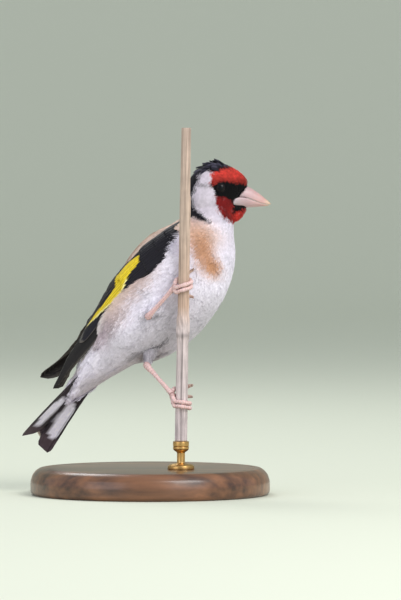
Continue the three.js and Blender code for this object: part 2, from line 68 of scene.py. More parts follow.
# Along the axis, offset to the belly, tilt, half depth, half width, roll of the belly.
TRUNK = [
    (-54.0, -2.0, 50.5, 0.6, 1.3, 32),
    (-49.0, -2.0, 50.5, 1.6, 4.0, 32),
    (-43.5, -1.9, 50.5, 3.0, 6.0, 31),
    (-33.4, -1.9, 50.5, 7.2, 8.6, 28),
    (-23.3, -1.6, 50.5, 11.3, 11.8, 22),
    (-15.0, 0.2, 50.5, 15.4, 14.0, 17),
    (-5.6, 1.5, 50.5, 17.9, 15.2, 15),
    (3.7, 0.9, 50.5, 19.3, 15.5, 15),
    (15.0, 0.5, 51.5, 18.4, 14.8, 15),
    (25.0, -0.2, 60.0, 14.2, 12.8, 13),
    (31.4, -2.9, 73.0, 10.5, 10.2, 8),
    (36.2, -5.0, 83.0, 8.7, 8.7, 3),
    (41.0, -7.5, 88.0, 7.0, 7.4, 0),
]

# %% Sections of the head
# Place along X, height of the middle, half height, half width.
HEAD = [
    (14.6, 111.5, 2.6, 2.2),
    (15.3, 111.9, 6.4, 4.8),
    (17.0, 112.4, 8.6, 6.9),
    (19.2, 112.8, 10.3, 8.2),
    (21.8, 113.1, 11.3, 8.7),
    (24.8, 113.2, 11.7, 8.4),
    (27.8, 112.9, 11.4, 7.5),
    (30.8, 112.4, 10.6, 6.0),
    (33.4, 112.0, 9.4, 4.6),
    (35.4, 112.4, 7.2, 3.7),
    (36.4, 112.6, 5.3, 3.1),
]
BILL_ROOT = np.array([36.0, BODY_CENTRE[1], 111.5])


# %% Reading a section between the rows
def smooth_rows(rows, places):
    """Rows read off at any places, on a smooth curve through the given ones."""
    rows = np.asarray(rows, float)
    places = np.atleast_1d(np.asarray(places, float))
    last = len(rows) - 1
    span = np.clip(np.floor(places).astype(int), 0, last - 1)
    t = (places - span)[:, None]
    before = rows[np.clip(span - 1, 0, last)]
    start = rows[span]
    end = rows[span + 1]
    after = rows[np.clip(span + 2, 0, last)]
    pull = 2 * before - 5 * start + 4 * end - after
    bend = -before + 3 * start - 3 * end + after
    return 0.5 * (2 * start + (end - before) * t + pull * t**2 + bend * t**3)


def section_at(rows, values):
    """Rows read off where the first column has each value."""
    first = np.array([row[0] for row in rows])
    order = 1 if first[-1] > first[0] else -1
    places = np.interp(order * np.asarray(values), order * first, np.arange(len(rows)))
    return smooth_rows(rows, places)


def fade(values, start, end):
    """A share that grows from 0 at the start to 1 at the end, and holds outside them."""
    return np.clip((np.asarray(values) - start) / (end - start), 0, 1)


print("half depth at the breast", smooth_rows(TRUNK, 8)[0, 3], "mm")


# %% Directions of the body
def axes(tilt, roll):
    """Unit vectors along the body, towards the belly and to the bird's right."""
    tilt = np.radians(np.atleast_1d(tilt))[:, None]
    roll = np.radians(np.atleast_1d(roll))[:, None]
    x = np.array([1.0, 0.0, 0.0])
    z = np.array([0.0, 0.0, 1.0])
    near = np.array([0.0, -1.0, 0.0])
    along = np.cos(tilt) * x + np.sin(tilt) * z
    down = np.sin(tilt) * x - np.cos(tilt) * z
    belly = down * np.cos(roll) + near * np.sin(roll)
    right = near * np.cos(roll) - down * np.sin(roll)
    return along, belly, right


def body_point(along, belly, right, roll):
    """Points given along the body axis, towards the belly and to the right."""
    a, b, r = axes(BODY_PITCH, roll)
    along, belly, right = [np.atleast_1d(v)[:, None] for v in (along, belly, right)]
    return BODY_CENTRE + a * along + b * belly + r * right


print("body axis", axes(BODY_PITCH, 0)[0][0].round(3))

# %% [markdown]
# Most pieces here are rings of points joined into a skin, which is the plainest way to make
# a living form in mesh code. One helper joins the rings, and one makes the object and says
# which body it rides on and what solid it replaces.


# %% Making a piece
def settle(piece, material, slot, *nodes):
    """Give a piece its material, body and the solids that it stands for. The slot is not used."""
    piece.data.materials.clear()
    piece.data.materials.append(material)
    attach(piece, "root")
    if nodes:
        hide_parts(*nodes)
    print(piece.name, len(piece.data.polygons), "faces")
    return piece


def new_piece(name, points, faces, smooth=True):
    """An object from points in millimetres and faces."""
    mesh = bpy.data.meshes.new(name)
    mesh.from_pydata((np.asarray(points) * MM).tolist(), [], [list(f) for f in faces])
    mesh.validate()
    if smooth:
        mesh.shade_smooth()
    piece = bpy.data.objects.new(name, mesh)
    bpy.context.scene.collection.objects.link(piece)
    return piece


# %% Joining rings
# A direction that no path here follows, so that the rings of a tube never flip over.
STEADY_UP = np.array([0.13, 0.27, 0.95])


def ring_faces(rings, count, closed=True, caps=True):
    """Faces of a tube of rings that have the same number of points."""
    faces = []
    around = count if closed else count - 1
    for r in range(rings - 1):
        for k in range(around):
            a = r * count + k
            b = r * count + (k + 1) % count
            faces.append((a, b, b + count, a + count))
    if closed and caps:
        faces.append(tuple(range(count))[::-1])
        faces.append(tuple((rings - 1) * count + k for k in range(count)))
    return faces


def gather(parts):
    """The points and the faces of several forms, each as one row of them."""
    faces = []
    start = 0
    for part in parts:
        faces.extend(tuple(k + start for k in f) for f in part[1])
        start += len(part[0])
    return np.concatenate([part[0] for part in parts]), faces


def tube_points(path, radii, sides, flat=1.0):
    """Rings of a round body along a path, with a steady sense of up."""
    path = np.asarray(path, float)
    way = np.gradient(path, axis=0)
    way /= np.linalg.norm(way, axis=1)[:, None]
    side = np.cross(way, STEADY_UP)
    side /= np.linalg.norm(side, axis=1)[:, None]
    up = np.cross(side, way)
    turn = np.linspace(0, 2 * np.pi, sides, endpoint=False)
    radii = np.broadcast_to(np.asarray(radii, float), (len(path),))[:, None, None]
    across = np.cos(turn)[None, :, None] * side[:, None, :]
    rise = np.sin(turn)[None, :, None] * up[:, None, :] * flat
    return (path[:, None, :] + radii * (across + rise)).reshape(-1, 3)


def smooth_path(points, count):
    """A smooth path with a given number of points through a few given ones."""
    return smooth_rows(points, np.linspace(0, len(points) - 1, count))


print("helpers for rings are ready")

# %% [markdown]
# A goldfinch is known by its marks: a red mask with black lores, a black cap that runs down
# the side of the neck, white cheeks, buff patches on the breast and a white belly. The marks
# are outlines in the side view, the same on both sides, and soft patches of tint, some of
# them painted shade in the folds and on the underside of the belly. Each feather takes the
# mark at its middle, with a small random step so that edges look feathered.


# %% Colours of the plumage
def tint(red, green, blue):
    """A display colour from 0 to 255 as the linear colour that shaders use."""
    shown = np.array([red, green, blue]) / 255
    return np.where(shown <= 0.04045, shown / 12.92, ((shown + 0.055) / 1.055) ** 2.4)


WHITE = tint(230, 224, 236)
CHEEK = tint(225, 217, 228)
CAP_BLACK = tint(20, 18, 28)
MASK_BLACK = tint(10, 9, 12)
# Slate mixed at random into the crest's black: painted sheen on its feathers.
CREST_PAINTED_SHEEN = tint(92, 88, 110)
FOREHEAD_RED = tint(224, 72, 62)
THROAT_RED = tint(144, 33, 34)
CHIN_RED = tint(210, 58, 50)
NAPE_BUFF = tint(216, 182, 164)
BREAST_BUFF = tint(182, 128, 86)
FLANK_BUFF = tint(188, 163, 156)
FLANK_SHADE = tint(180, 162, 171)
FLANK_DARK = tint(112, 94, 92)
# Partly the belly's own lilac grey, partly painted shade on its downward-facing underside.
BELLY_GREY_AND_SHADE = tint(176, 170, 176)
MANTLE_BROWN = tint(156, 124, 100)
MANTLE_EDGE = tint(204, 180, 166)
# Painted shadow for the fold between the belly and the thigh feathers.
FOLD_SHADOW = tint(98, 94, 102)
RUMP_WHITE = tint(222, 214, 208)
print("forehead red in linear light", FOREHEAD_RED.round(3))

# %% Outlines of the marks in the side view
CAP = [
    (31.2, 122.4), (28.1, 121.9), (26.2, 121.5), (23.6, 121.0), (21.4, 121.3), (19.9, 121.0),
    (19.1, 120.0), (18.4, 118.1), (18.0, 116.6), (16.9, 115.1), (15.9, 112.5), (15.9, 110.6),
    (16.9, 108.0), (18.2, 106.5), (20.5, 104.6), (22.8, 102.3), (21.4, 101.8), (17.4, 103.2),
    (12.0, 104.0), (5.0, 110.0), (8.0, 130.0), (29.0, 130.0),
]
RED_MASK = [
    (23.6, 121.0), (26.2, 121.6), (28.1, 122.0), (31.2, 122.4), (31.0, 130.0), (42.0, 128.0),
    (42.0, 102.0), (36.0, 99.5), (31.5, 101.6), (29.2, 102.5), (27.0, 104.4), (25.5, 106.7),
    (24.8, 108.8), (24.5, 110.6), (24.5, 112.6), (23.4, 115.4), (22.8, 116.8), (22.7, 118.1),
    (23.1, 119.6),
]
BLACK_MASK = [
    (22.8, 116.4), (24.0, 116.6), (25.5, 117.2), (27.8, 117.4), (30.0, 117.0), (32.2, 116.6),
    (34.5, 116.3), (37.5, 116.3), (37.5, 107.7), (35.8, 107.4), (33.2, 106.2), (30.9, 105.9),
    (31.1, 108.8), (30.0, 110.6), (27.8, 111.8), (24.7, 112.2), (23.7, 114.0),
]
CHEEK_SEAM = {"from": 18.2, "to": 23.0, "height": 116.1, "half": 0.42, "shade": 0.45}


def inside(x, z, outline):
    """Which points lie inside a closed outline, by counting the edges on one side."""
    hit = np.zeros(len(x), bool)
    for (x0, z0), (x1, z1) in zip(outline, outline[1:] + outline[:1]):
        crosses = (z0 > z) != (z1 > z)
        edge = x0 + (z - z0) * (x1 - x0) / ((z1 - z0) or 1e-9)
        hit ^= crosses & (x < edge)
    return hit


print("outlines:", len(CAP), len(RED_MASK), len(BLACK_MASK), "points")

# %% Soft patches of tint and of painted shade
# Middle in the side view, half length, half height, turn, strength and colour.
PATCHES = [
    ((17.5, 98.5), 9.0, 5.5, -20, 0.95, NAPE_BUFF),
    ((20.0, 91.0), 4.4, 7.6, 14, 0.9, BREAST_BUFF),
    ((23.8, 85.6), 3.2, 4.2, 25, 0.9, BREAST_BUFF),
    # Lilac grey that is partly painted shade on the underside of the belly.
    ((18.0, 68.0), 11.0, 6.0, 45, 0.5, BELLY_GREY_AND_SHADE),
    ((-4.0, 79.0), 13.0, 3.8, 47, 0.95, FLANK_BUFF),
    ((-13.0, 67.5), 7.0, 4.0, 50, 0.8, FLANK_BUFF),
    # Lilac grey that is partly painted shade on the underside of the belly and the vent.
    ((4.0, 62.0), 13.0, 7.5, 35, 0.75, BELLY_GREY_AND_SHADE),
    ((-14.0, 55.5), 7.0, 3.5, 42, 0.45, BELLY_GREY_AND_SHADE),
    ((-17.2, 60.8), 6.4, 4.0, 52, 0.9, FLANK_SHADE),
    ((-13.1, 62.4), 4.2, 1.3, 72, 0.35, FLANK_DARK),
    ((-19.2, 57.8), 2.6, 1.2, 50, 0.6, FLANK_DARK),
    # Painted shadow: a soft grey in the fold between the belly and the left thigh.
    ((-6.0, 53.0), 3.6, 1.1, 38, 0.55, FOLD_SHADOW),
    # Painted shade on the left thigh, to match the shaded belly beside it.
    ((0.5, 52.0), 4.8, 4.0, 0, 0.85, BELLY_GREY_AND_SHADE),
    # Painted shadow: the slender dark line of that fold.
    ((3.6, 57.2), 5.2, 0.9, 33, 0.95, FOLD_SHADOW),
]
# How sharply a patch ends: 1 is a soft bell, and more has a flatter middle and a quicker edge.
PATCH_EDGE = 1.5


def fall_off(x, z, middle, long_half, short_half, turn):
    """One at the middle of a leaning oval, fading to nothing past its edge."""
    c = math.cos(math.radians(turn))
    s = math.sin(math.radians(turn))
    dx = x - middle[0]
    dz = z - middle[1]
    reach = ((dx * c + dz * s) / long_half) ** 2 + ((dz * c - dx * s) / short_half) ** 2
    return np.exp(-(reach**PATCH_EDGE))


def mix(a, b, share):
    """Blend colours row by row."""
    return a + (b - a) * np.asarray(share)[:, None]


print(len(PATCHES), "soft patches")


# %% Where the marks of the body begin and end
# Angles round the body from the belly, places along it, and heights.
BACK_ANGLES = (112, 124)
BROWN_ANGLES = (158, 174)
RUMP_ALONG = (14, 20)
BACK_TOP = 106
HEAD_BASE = 101.4
THROAT_TOP = 104.5
FOREHEAD_HEIGHTS = (112, 118)
CHIN_PLACES = (28, 32)
CHIN_HEIGHTS = (109, 105)
# Pale flecks in the lower red: their share, the red that stays in one and the white that comes in.
FLECKS = (0.02, 0.75, 0.18)
RED_UNEVEN = 0.14
# The forehead is darkest just over the mask: the height there, the reach and the share of dark.
RED_SHADE = (117.2, 1.7, 0.45)
print("the back begins", BACK_ANGLES[0], "degrees round from the belly")


# %% The marking of any place on the bird
def body_place(points):
    """Place along the body axis and angle round it from the belly, in degrees."""
    a, b, r = axes(BODY_PITCH, BODY_ROLL)
    off = points - BODY_CENTRE
    along = off @ a[0]
    middle = section_at(TRUNK, along)[:, 1]
    return along, np.degrees(np.arctan2(off @ r[0], off @ b[0] - middle))


def marking(points, ragged=0.35):
    """The plumage colour at each place, with ragged edges between the marks."""
    x = points[:, 0] + chance.normal(0, ragged, len(points))
    z = points[:, 2] + chance.normal(0, ragged, len(points))
    along, around = body_place(points)
    colour = np.tile(WHITE, (len(points), 1))
    for middle, long_half, short_half, turn, strength, shade in PATCHES:
        colour = mix(colour, shade, strength * fall_off(x, z, middle, long_half, short_half, turn))
    back = fade(np.abs(around), *BACK_ANGLES) * (points[:, 2] < BACK_TOP)
    middle_back = fade(np.abs(around), *BROWN_ANGLES)
    mantle = mix(MANTLE_EDGE, MANTLE_BROWN, middle_back)
    colour = mix(colour, mix(mantle, RUMP_WHITE, fade(-along, *RUMP_ALONG)), back)
    face = np.tile(CHEEK, (len(points), 1))
    on_seam = (x > CHEEK_SEAM["from"]) & (x < CHEEK_SEAM["to"])
    on_seam &= np.abs(z - CHEEK_SEAM["height"]) < CHEEK_SEAM["half"]
    face[on_seam] *= CHEEK_SEAM["shade"]
    red = inside(x, z, RED_MASK)
    chin = fade(x, *CHIN_PLACES) * fade(z, *CHIN_HEIGHTS)
    reds = mix(THROAT_RED, CHIN_RED, chin)
    reds = mix(reds, FOREHEAD_RED, fade(z, *FOREHEAD_HEIGHTS))
    fleck = (z < FOREHEAD_HEIGHTS[0]) & (chance.random(len(points)) < FLECKS[0])
    reds[fleck] = reds[fleck] * FLECKS[1] + CHEEK * FLECKS[2]
    deep = RED_SHADE[2] * np.exp(-(((z - RED_SHADE[0]) / RED_SHADE[1]) ** 2))
    reds *= (chance.normal(1, RED_UNEVEN, len(points)) * (1 - deep))[:, None]
    face[red] = reds[red]
    face[inside(x, z, BLACK_MASK)] = MASK_BLACK
    cap = inside(x, z, CAP)
    face[cap] = CAP_BLACK
    head = points[:, 2] > HEAD_BASE
    head &= (z > THROAT_TOP) | red | cap
    colour[head] = face[head]
    return np.clip(colour, 0, 1)


print("a place on the breast:", marking(np.array([[30.0, -3.0, 85.0]]))[0].round(2))

# %% [markdown]
# Several finishes share the same small effects: a mottle that keeps a colour from being flat,
# and fine lines that run along a grain. Each is a shader node group with named inputs, built
# once and used in each material with its own values.


# %% Starting a node group
def start_group(name, inputs, outputs):
    """An empty shader group with named sockets, and its two end nodes."""
    group = bpy.data.node_groups.new(name, "ShaderNodeTree")
    for label, kind, value in inputs:
        socket = group.interface.new_socket(label, in_out="INPUT", socket_type=kind)
        socket.default_value = value
    for label, kind in outputs:
        group.interface.new_socket(label, in_out="OUTPUT", socket_type=kind)
    return group, group.nodes.new("NodeGroupInput"), group.nodes.new("NodeGroupOutput")


def add_node(tree, kind, operation=None, **values):
    """A shader node of a kind, with its operation and plain values on its sockets."""
    node = tree.nodes.new("ShaderNode" + kind)
    if operation:
        node.operation = operation
    for label, value in values.items():
        node.inputs[label.replace("_", " ")].default_value = value
    return node


FLOAT = "NodeSocketFloat"
COLOUR = "NodeSocketColor"
VECTOR = "NodeSocketVector"


# %% Mottle: a colour with soft darker and lighter places
def make_mottle():
    sockets = [("Colour", COLOUR, (1, 1, 1, 1)), ("Size", FLOAT, 500.0), ("Amount", FLOAT, 0.2)]
    group, start, end = start_group("mottle", sockets, [("Colour", COLOUR), ("Height", FLOAT)])
    place = add_node(group, "TexCoord")
    noise = add_node(group, "TexNoise", Detail=5.0)
    spread = add_node(group, "MapRange", From_Min=0.3, From_Max=0.7)
    low = add_node(group, "Math", "SUBTRACT", Value=1.0)
    high = add_node(group, "Math", "ADD", Value=1.0)
    scale = add_node(group, "VectorMath", "SCALE")
    link = group.links.new
    link(place.outputs["Object"], noise.inputs["Vector"])
    link(start.outputs["Size"], noise.inputs["Scale"])
    link(start.outputs["Amount"], low.inputs[1])
    link(start.outputs["Amount"], high.inputs[1])
    link(noise.outputs["Fac"], spread.inputs["Value"])
    link(low.outputs[0], spread.inputs["To Min"])
    link(high.outputs[0], spread.inputs["To Max"])
    link(start.outputs["Colour"], scale.inputs[0])
    link(spread.outputs["Result"], scale.inputs["Scale"])
    link(scale.outputs["Vector"], end.inputs["Colour"])
    link(noise.outputs["Fac"], end.inputs["Height"])
    return group


MOTTLE = make_mottle()
print("group", MOTTLE.name)


# %% Grain: fine lines along one direction of the object
def make_grain():
    sockets = [("Across", FLOAT, 900.0), ("Along", VECTOR, (1.0, 1.0, 0.05))]
    group, start, end = start_group("grain", sockets, [("Height", FLOAT)])
    place = add_node(group, "TexCoord")
    stretch = add_node(group, "VectorMath", "MULTIPLY")
    noise = add_node(group, "TexNoise", Detail=4.0)
    link = group.links.new
    link(place.outputs["Object"], stretch.inputs[0])
    link(start.outputs["Along"], stretch.inputs[1])
    link(stretch.outputs["Vector"], noise.inputs["Vector"])
    link(start.outputs["Across"], noise.inputs["Scale"])
    link(noise.outputs["Fac"], end.inputs["Height"])
    return group


GRAIN = make_grain()
print("group", GRAIN.name)


# %% Barbs: the slanting lines of a vane on each side of its shaft
def make_barbs():
    sockets = [("Lines", FLOAT, 90.0), ("Slant", FLOAT, 0.35)]
    group, start, end = start_group("barbs", sockets, [("Height", FLOAT)])
    place = add_node(group, "UVMap")
    place.uv_map = "vane"
    parts = add_node(group, "SeparateXYZ")
    off = add_node(group, "Math", "SUBTRACT")
    off.inputs[1].default_value = 0.5
    apart = add_node(group, "Math", "ABSOLUTE")
    lean = add_node(group, "Math", "MULTIPLY")
    run = add_node(group, "Math", "SUBTRACT")
    count = add_node(group, "Math", "MULTIPLY")
    wave = add_node(group, "Math", "SINE")
    link = group.links.new
    link(place.outputs["UV"], parts.inputs[0])
    link(parts.outputs["X"], off.inputs[0])
    link(off.outputs[0], apart.inputs[0])
    link(apart.outputs[0], lean.inputs[0])
    link(start.outputs["Slant"], lean.inputs[1])
    link(parts.outputs["Y"], run.inputs[0])
    link(lean.outputs[0], run.inputs[1])
    link(run.outputs[0], count.inputs[0])
    link(start.outputs["Lines"], count.inputs[1])
    link(count.outputs[0], wave.inputs[0])
    link(wave.outputs[0], end.inputs["Height"])
    return group


BARBS = make_barbs()
print("group", BARBS.name)

# %% [markdown]
# Each finish is one Principled shader. Values that are the same all over sit on its own
# sockets, and groups feed only what changes over the surface. Plumage reads the marking that
# was worked out for each feather, so the skin and the coat carry the same colours.


# %% Starting a material
def start_material(name, roughness, **values):
    """A material with one Principled shader and plain values on its sockets."""
    material = bpy.data.materials.new(name)
    material.use_nodes = True
    shader = material.node_tree.nodes["Principled BSDF"]
    shader.inputs["Roughness"].default_value = roughness
    for label, value in values.items():
        shader.inputs[label.replace("_", " ")].default_value = value
    return material, material.node_tree, shader


def put_group(tree, group, **values):
    """Place a shader group in a material with its own values."""
    node = add_node(tree, "Group")
    node.node_tree = group
    for label, value in values.items():
        node.inputs[label].default_value = value
    return node


def add_bump(tree, shader, height, strength, distance):
    """Raise the surface of a shader by a height, up to a distance in millimetres."""
    bump = add_node(tree, "Bump", Strength=strength, Distance=distance * MM)
    tree.links.new(height, bump.inputs["Height"])
    tree.links.new(bump.outputs["Normal"], shader.inputs["Normal"])


def marking_colour(tree):
    """The marking that each point of the piece carries."""
    node = add_node(tree, "Attribute")
    node.attribute_name = "marking"
    return node.outputs["Color"]


print("material helpers are ready")


# %% Plumage finishes
def marked_material(name, roughness, size, amount, bump, distance=0.15, **values):
    """A finish that reads the piece's own marking, mottled and lightly bumped."""
    material, tree, shader = start_material(name, roughness, **values)
    mottle = put_group(tree, MOTTLE, Size=size, Amount=amount)
    tree.links.new(marking_colour(tree), mottle.inputs["Colour"])
    tree.links.new(mottle.outputs["Colour"], shader.inputs["Base Color"])
    add_bump(tree, shader, mottle.outputs["Height"], bump, distance)
    return material


def vane_material():
    material, tree, shader = start_material("flight feathers", 0.5, Sheen_Weight=0.04,
                                            Specular_IOR_Level=0.22)
    mottle = put_group(tree, MOTTLE, Size=600.0, Amount=0.12)
    barbs = put_group(tree, BARBS, Lines=420.0, Slant=0.3)
    tree.links.new(marking_colour(tree), mottle.inputs["Colour"])
    tree.links.new(mottle.outputs["Colour"], shader.inputs["Base Color"])
    add_bump(tree, shader, barbs.outputs["Height"], 0.25, 0.06)
    return material


PLUMAGE = marked_material("small feathers", 0.72, 900.0, 0.1, 0.3, 0.1, Sheen_Weight=0.08,
                          Sheen_Roughness=0.5, Specular_IOR_Level=0.15)
VANES = vane_material()
print(PLUMAGE.name, "and", VANES.name)


# %% Horn, skin and eye finishes
# How far red, green and blue light spread inside horn and skin, in metres.
HORN_GLOW = (0.0012, 0.0006, 0.0004)
SKIN_GLOW = (0.0008, 0.0003, 0.0002)
# The ends of the bill along X, and its colours from the base to the tip.
BILL_ENDS = (31.0, 45.5)
BILL_TINTS = [
    (0.0, tint(184, 170, 174)), (0.3, tint(186, 158, 162)), (0.8, tint(196, 155, 149)),
    (1.0, tint(204, 180, 146)),
]


def set_stops(ramp, stops):
    """Give a colour ramp its places and colours."""
    elements = ramp.color_ramp.elements
    while len(elements) < len(stops):
        elements.new(0.5)
    for element, (place, colour) in zip(elements, stops):
        element.position = place
        element.color = (*colour, 1)


def ramp_along(tree, axis, start, end, stops):
    """A colour that changes along one axis of the object between two places."""
    place = add_node(tree, "TexCoord")
    parts = add_node(tree, "SeparateXYZ")
    spread = add_node(tree, "MapRange", From_Min=start * MM, From_Max=end * MM)
    ramp = add_node(tree, "ValToRGB")
    tree.links.new(place.outputs["Object"], parts.inputs[0])
    tree.links.new(parts.outputs[axis], spread.inputs["Value"])
    tree.links.new(spread.outputs["Result"], ramp.inputs["Fac"])
    set_stops(ramp, stops)
    return ramp.outputs["Color"]


def bill_material():
    material, tree, shader = start_material("bill horn", 0.38, Subsurface_Weight=0.15,
                                            Subsurface_Radius=HORN_GLOW)
    colour = ramp_along(tree, "X", *BILL_ENDS, BILL_TINTS)
    mottle = put_group(tree, MOTTLE, Size=420.0, Amount=0.07)
    grain = put_group(tree, GRAIN, Across=1500.0, Along=(0.12, 1.0, 1.0))
    tree.links.new(colour, mottle.inputs["Colour"])
    tree.links.new(mottle.outputs["Colour"], shader.inputs["Base Color"])
    add_bump(tree, shader, grain.outputs["Height"], 0.25, 0.12)
    return material


BILL_HORN = bill_material()
LEG_SKIN = marked_material("leg skin", 0.5, 1600.0, 0.12, 0.4, Subsurface_Weight=0.1,
                           Subsurface_Radius=SKIN_GLOW)
CLAW_HORN = marked_material("claw horn", 0.35, 1200.0, 0.12, 0.2)
EYE_GLOSS = marked_material("eye", 0.3, 900.0, 0.2, 0.0, Coat_Weight=0.2, Coat_Roughness=0.03,
                            Specular_IOR_Level=0.06)
EYE_SKIN = marked_material("eye skin", 0.6, 1200.0, 0.1, 0.2, Specular_IOR_Level=0.06)
print("horn, skin and eye finishes")


# %% Reed, wood and brass finishes
# The ends of the reed along Z, and its colours from the foot to the top: pale up to the joint.
REED_ENDS = (20.6, 137.6)
REED_TINTS = [
    (0.0, tint(208, 194, 194)), (0.36, tint(208, 192, 190)), (0.43, tint(184, 156, 138)),
    (0.7, tint(188, 166, 150)), (1.0, tint(182, 160, 146)),
]
WALNUT_TINTS = [(0.32, tint(66, 40, 26)), (0.68, tint(128, 84, 54))]
BRASS_YELLOW = tint(198, 158, 98)


def reed_material():
    material, tree, shader = start_material("dry reed", 0.62, Specular_IOR_Level=0.35)
    colour = ramp_along(tree, "Z", *REED_ENDS, REED_TINTS)
    mottle = put_group(tree, MOTTLE, Size=230.0, Amount=0.12)
    grain = put_group(tree, GRAIN, Across=1700.0, Along=(1.0, 1.0, 0.035))
    shade = add_node(tree, "MapRange", From_Min=0.3, From_Max=0.62, To_Min=0.62, To_Max=1.12)
    lines = add_node(tree, "VectorMath", "SCALE")
    tree.links.new(colour, mottle.inputs["Colour"])
    tree.links.new(grain.outputs["Height"], shade.inputs["Value"])
    tree.links.new(mottle.outputs["Colour"], lines.inputs[0])
    tree.links.new(shade.outputs["Result"], lines.inputs["Scale"])
    marks = add_node(tree, "VectorMath", "MULTIPLY")
    tree.links.new(lines.outputs["Vector"], marks.inputs[0])
    tree.links.new(marking_colour(tree), marks.inputs[1])
    tree.links.new(marks.outputs["Vector"], shader.inputs["Base Color"])
    add_bump(tree, shader, grain.outputs["Height"], 0.5, 0.3)
    return material


def wood_material():
    material, tree, shader = start_material("turned walnut", 0.34, Coat_Weight=0.35, Coat_Roughness=0.15)
    mottle = put_group(tree, MOTTLE, Size=60.0, Amount=0.2)
    grain = put_group(tree, GRAIN, Across=260.0, Along=(0.05, 1.0, 1.0))
    ramp = add_node(tree, "ValToRGB")
    set_stops(ramp, WALNUT_TINTS)
    tree.links.new(grain.outputs["Height"], ramp.inputs["Fac"])
    tree.links.new(ramp.outputs["Color"], mottle.inputs["Colour"])
    tree.links.new(mottle.outputs["Colour"], shader.inputs["Base Color"])
    add_bump(tree, shader, grain.outputs["Height"], 0.12, 0.3)
    return material


def brass_material():
    material, tree, shader = start_material("brushed brass", 0.3, Metallic=1.0)
    mottle = put_group(tree, MOTTLE, Size=350.0, Amount=0.1, Colour=(*BRASS_YELLOW, 1))
    grain = put_group(tree, GRAIN, Across=2200.0, Along=(0.3, 0.3, 1.0))
    wear = add_node(tree, "MapRange", To_Min=0.2, To_Max=0.42)
    tree.links.new(mottle.outputs["Colour"], shader.inputs["Base Color"])
    tree.links.new(mottle.outputs["Height"], wear.inputs["Value"])
    tree.links.new(wear.outputs["Result"], shader.inputs["Roughness"])
    add_bump(tree, shader, grain.outputs["Height"], 0.15, 0.05)
    return material


REED_FINISH = reed_material()
WOOD_FINISH = wood_material()
BRASS_FINISH = brass_material()
print("reed, wood and brass finishes")

# %% [markdown]
# One skin stands for torso, neck, head and thighs, so that no seam shows. It is made from the
# same sections as the solids, set in by the depth of the coat, and joined by a voxel remesh,
# which gives small even faces. The thighs are short drumsticks of flesh under loose feathers.
# Beside the lower bill the skin is drawn in a little, so that the horn of the bill lies over it.

# %% Sizes of the legs
LEGS = {
    "right": {"knee": (6.5, -0.6, 74.8), "ankle": (-0.6, -7.3, 67.1), "grip": (8.9, -9.9, 77.8),
              "thigh": (4.0, 1.15)},
    "left": {"knee": (1.4, 7.0, 59.0), "ankle": (-1.1, -2.0, 48.4), "grip": (8.1, -9.9, 38.3),
             "thigh": (3.1, 1.0)},
}
print("knees at", LEGS["right"]["knee"], "and", LEGS["left"]["knee"])

# %% Flesh forms to be joined
# The least half depth and half width of the trunk's flesh, and the least half size of the head's.
THIN_TRUNK = (0.25, 0.6)
THIN_HEAD = 0.5
# How far down to the ankle a thigh goes, how thick it is half way, and the depth of its coat.
THIGH = {"reach": 0.93, "half_way": 0.68, "coat": 0.2}


def trunk_form(sides=72, places=120):
    rows = smooth_rows(TRUNK, np.linspace(0, len(TRUNK) - 1, places))
    _, belly, right = axes(rows[:, 2], rows[:, 5])
    middle = body_point(rows[:, 0], rows[:, 1], 0, 0)
    turn = np.linspace(0, 2 * np.pi, sides, endpoint=False)[None, :, None]
    depth = np.maximum(rows[:, 3] - COAT_DEPTH, THIN_TRUNK[0])[:, None, None]
    width = np.maximum(rows[:, 4] - COAT_DEPTH, THIN_TRUNK[1])[:, None, None]
    rings = middle[:, None] + belly[:, None] * np.cos(turn) * depth
    rings = rings + right[:, None] * np.sin(turn) * width
    return rings.reshape(-1, 3), ring_faces(places, sides)


def head_form(sides=72, places=90):
    rows = smooth_rows(HEAD, np.linspace(0, len(HEAD) - 1, places))
    turn = np.linspace(0, 2 * np.pi, sides, endpoint=False)
    height = np.maximum(rows[:, 2] - COAT_DEPTH, THIN_HEAD)[:, None]
    width = np.maximum(rows[:, 3] - COAT_DEPTH, THIN_HEAD)[:, None]
    x = np.repeat(rows[:, :1], sides, axis=1)
    y = BODY_CENTRE[1] + np.sin(turn) * width
    z = rows[:, 1:2] + np.cos(turn) * height
    return np.stack([x, y, z], axis=2).reshape(-1, 3), ring_faces(places, sides)


def thigh_form(leg, sides=24, places=16):
    knee = np.array(leg["knee"])
    ankle = np.array(leg["ankle"])
    wide, narrow = leg["thigh"]
    stop = knee + (ankle - knee) * THIGH["reach"]
    path = smooth_path([knee, (knee + stop) / 2, stop], places)
    sizes = [(wide,), (wide * THIGH["half_way"],), (narrow,)]
    radii = smooth_rows(sizes, np.linspace(0, 2, places))[:, 0]
    return tube_points(path, radii - THIGH["coat"], sides), ring_faces(places, sides)


forms = [trunk_form(), head_form()] + [thigh_form(leg) for leg in LEGS.values()]
print(len(forms), "flesh forms")

# %% The joined skin
VOXEL = 0.5


def apply_modifiers(piece):
    """Keep what the piece's modifiers make as its own mesh."""
    view = bpy.context.evaluated_depsgraph_get()
    mesh = bpy.data.meshes.new_from_object(piece.evaluated_get(view))
    piece.modifiers.clear()
    piece.data = mesh
    return piece


def join_forms(name, shapes):
    piece = new_piece(name, *gather(shapes))
    remesh = piece.modifiers.new("join", "REMESH")
    remesh.mode = "VOXEL"
    remesh.voxel_size = VOXEL * MM
    remesh.use_smooth_shade = True
    ease = piece.modifiers.new("ease", "SMOOTH")
    ease.factor = 0.5
    ease.iterations = 6
    return apply_modifiers(piece)


skin = join_forms("skin", forms)
print("skin has", len(skin.data.polygons), "faces")


# %% Reading the skin back
def read_rows(items, what):
    """A place or a direction of every point or face, as rows."""
    values = np.empty(len(items) * 3)
    items.foreach_get(what, values)
    return values.reshape(-1, 3)


skin_points = read_rows(skin.data.vertices, "co") / MM
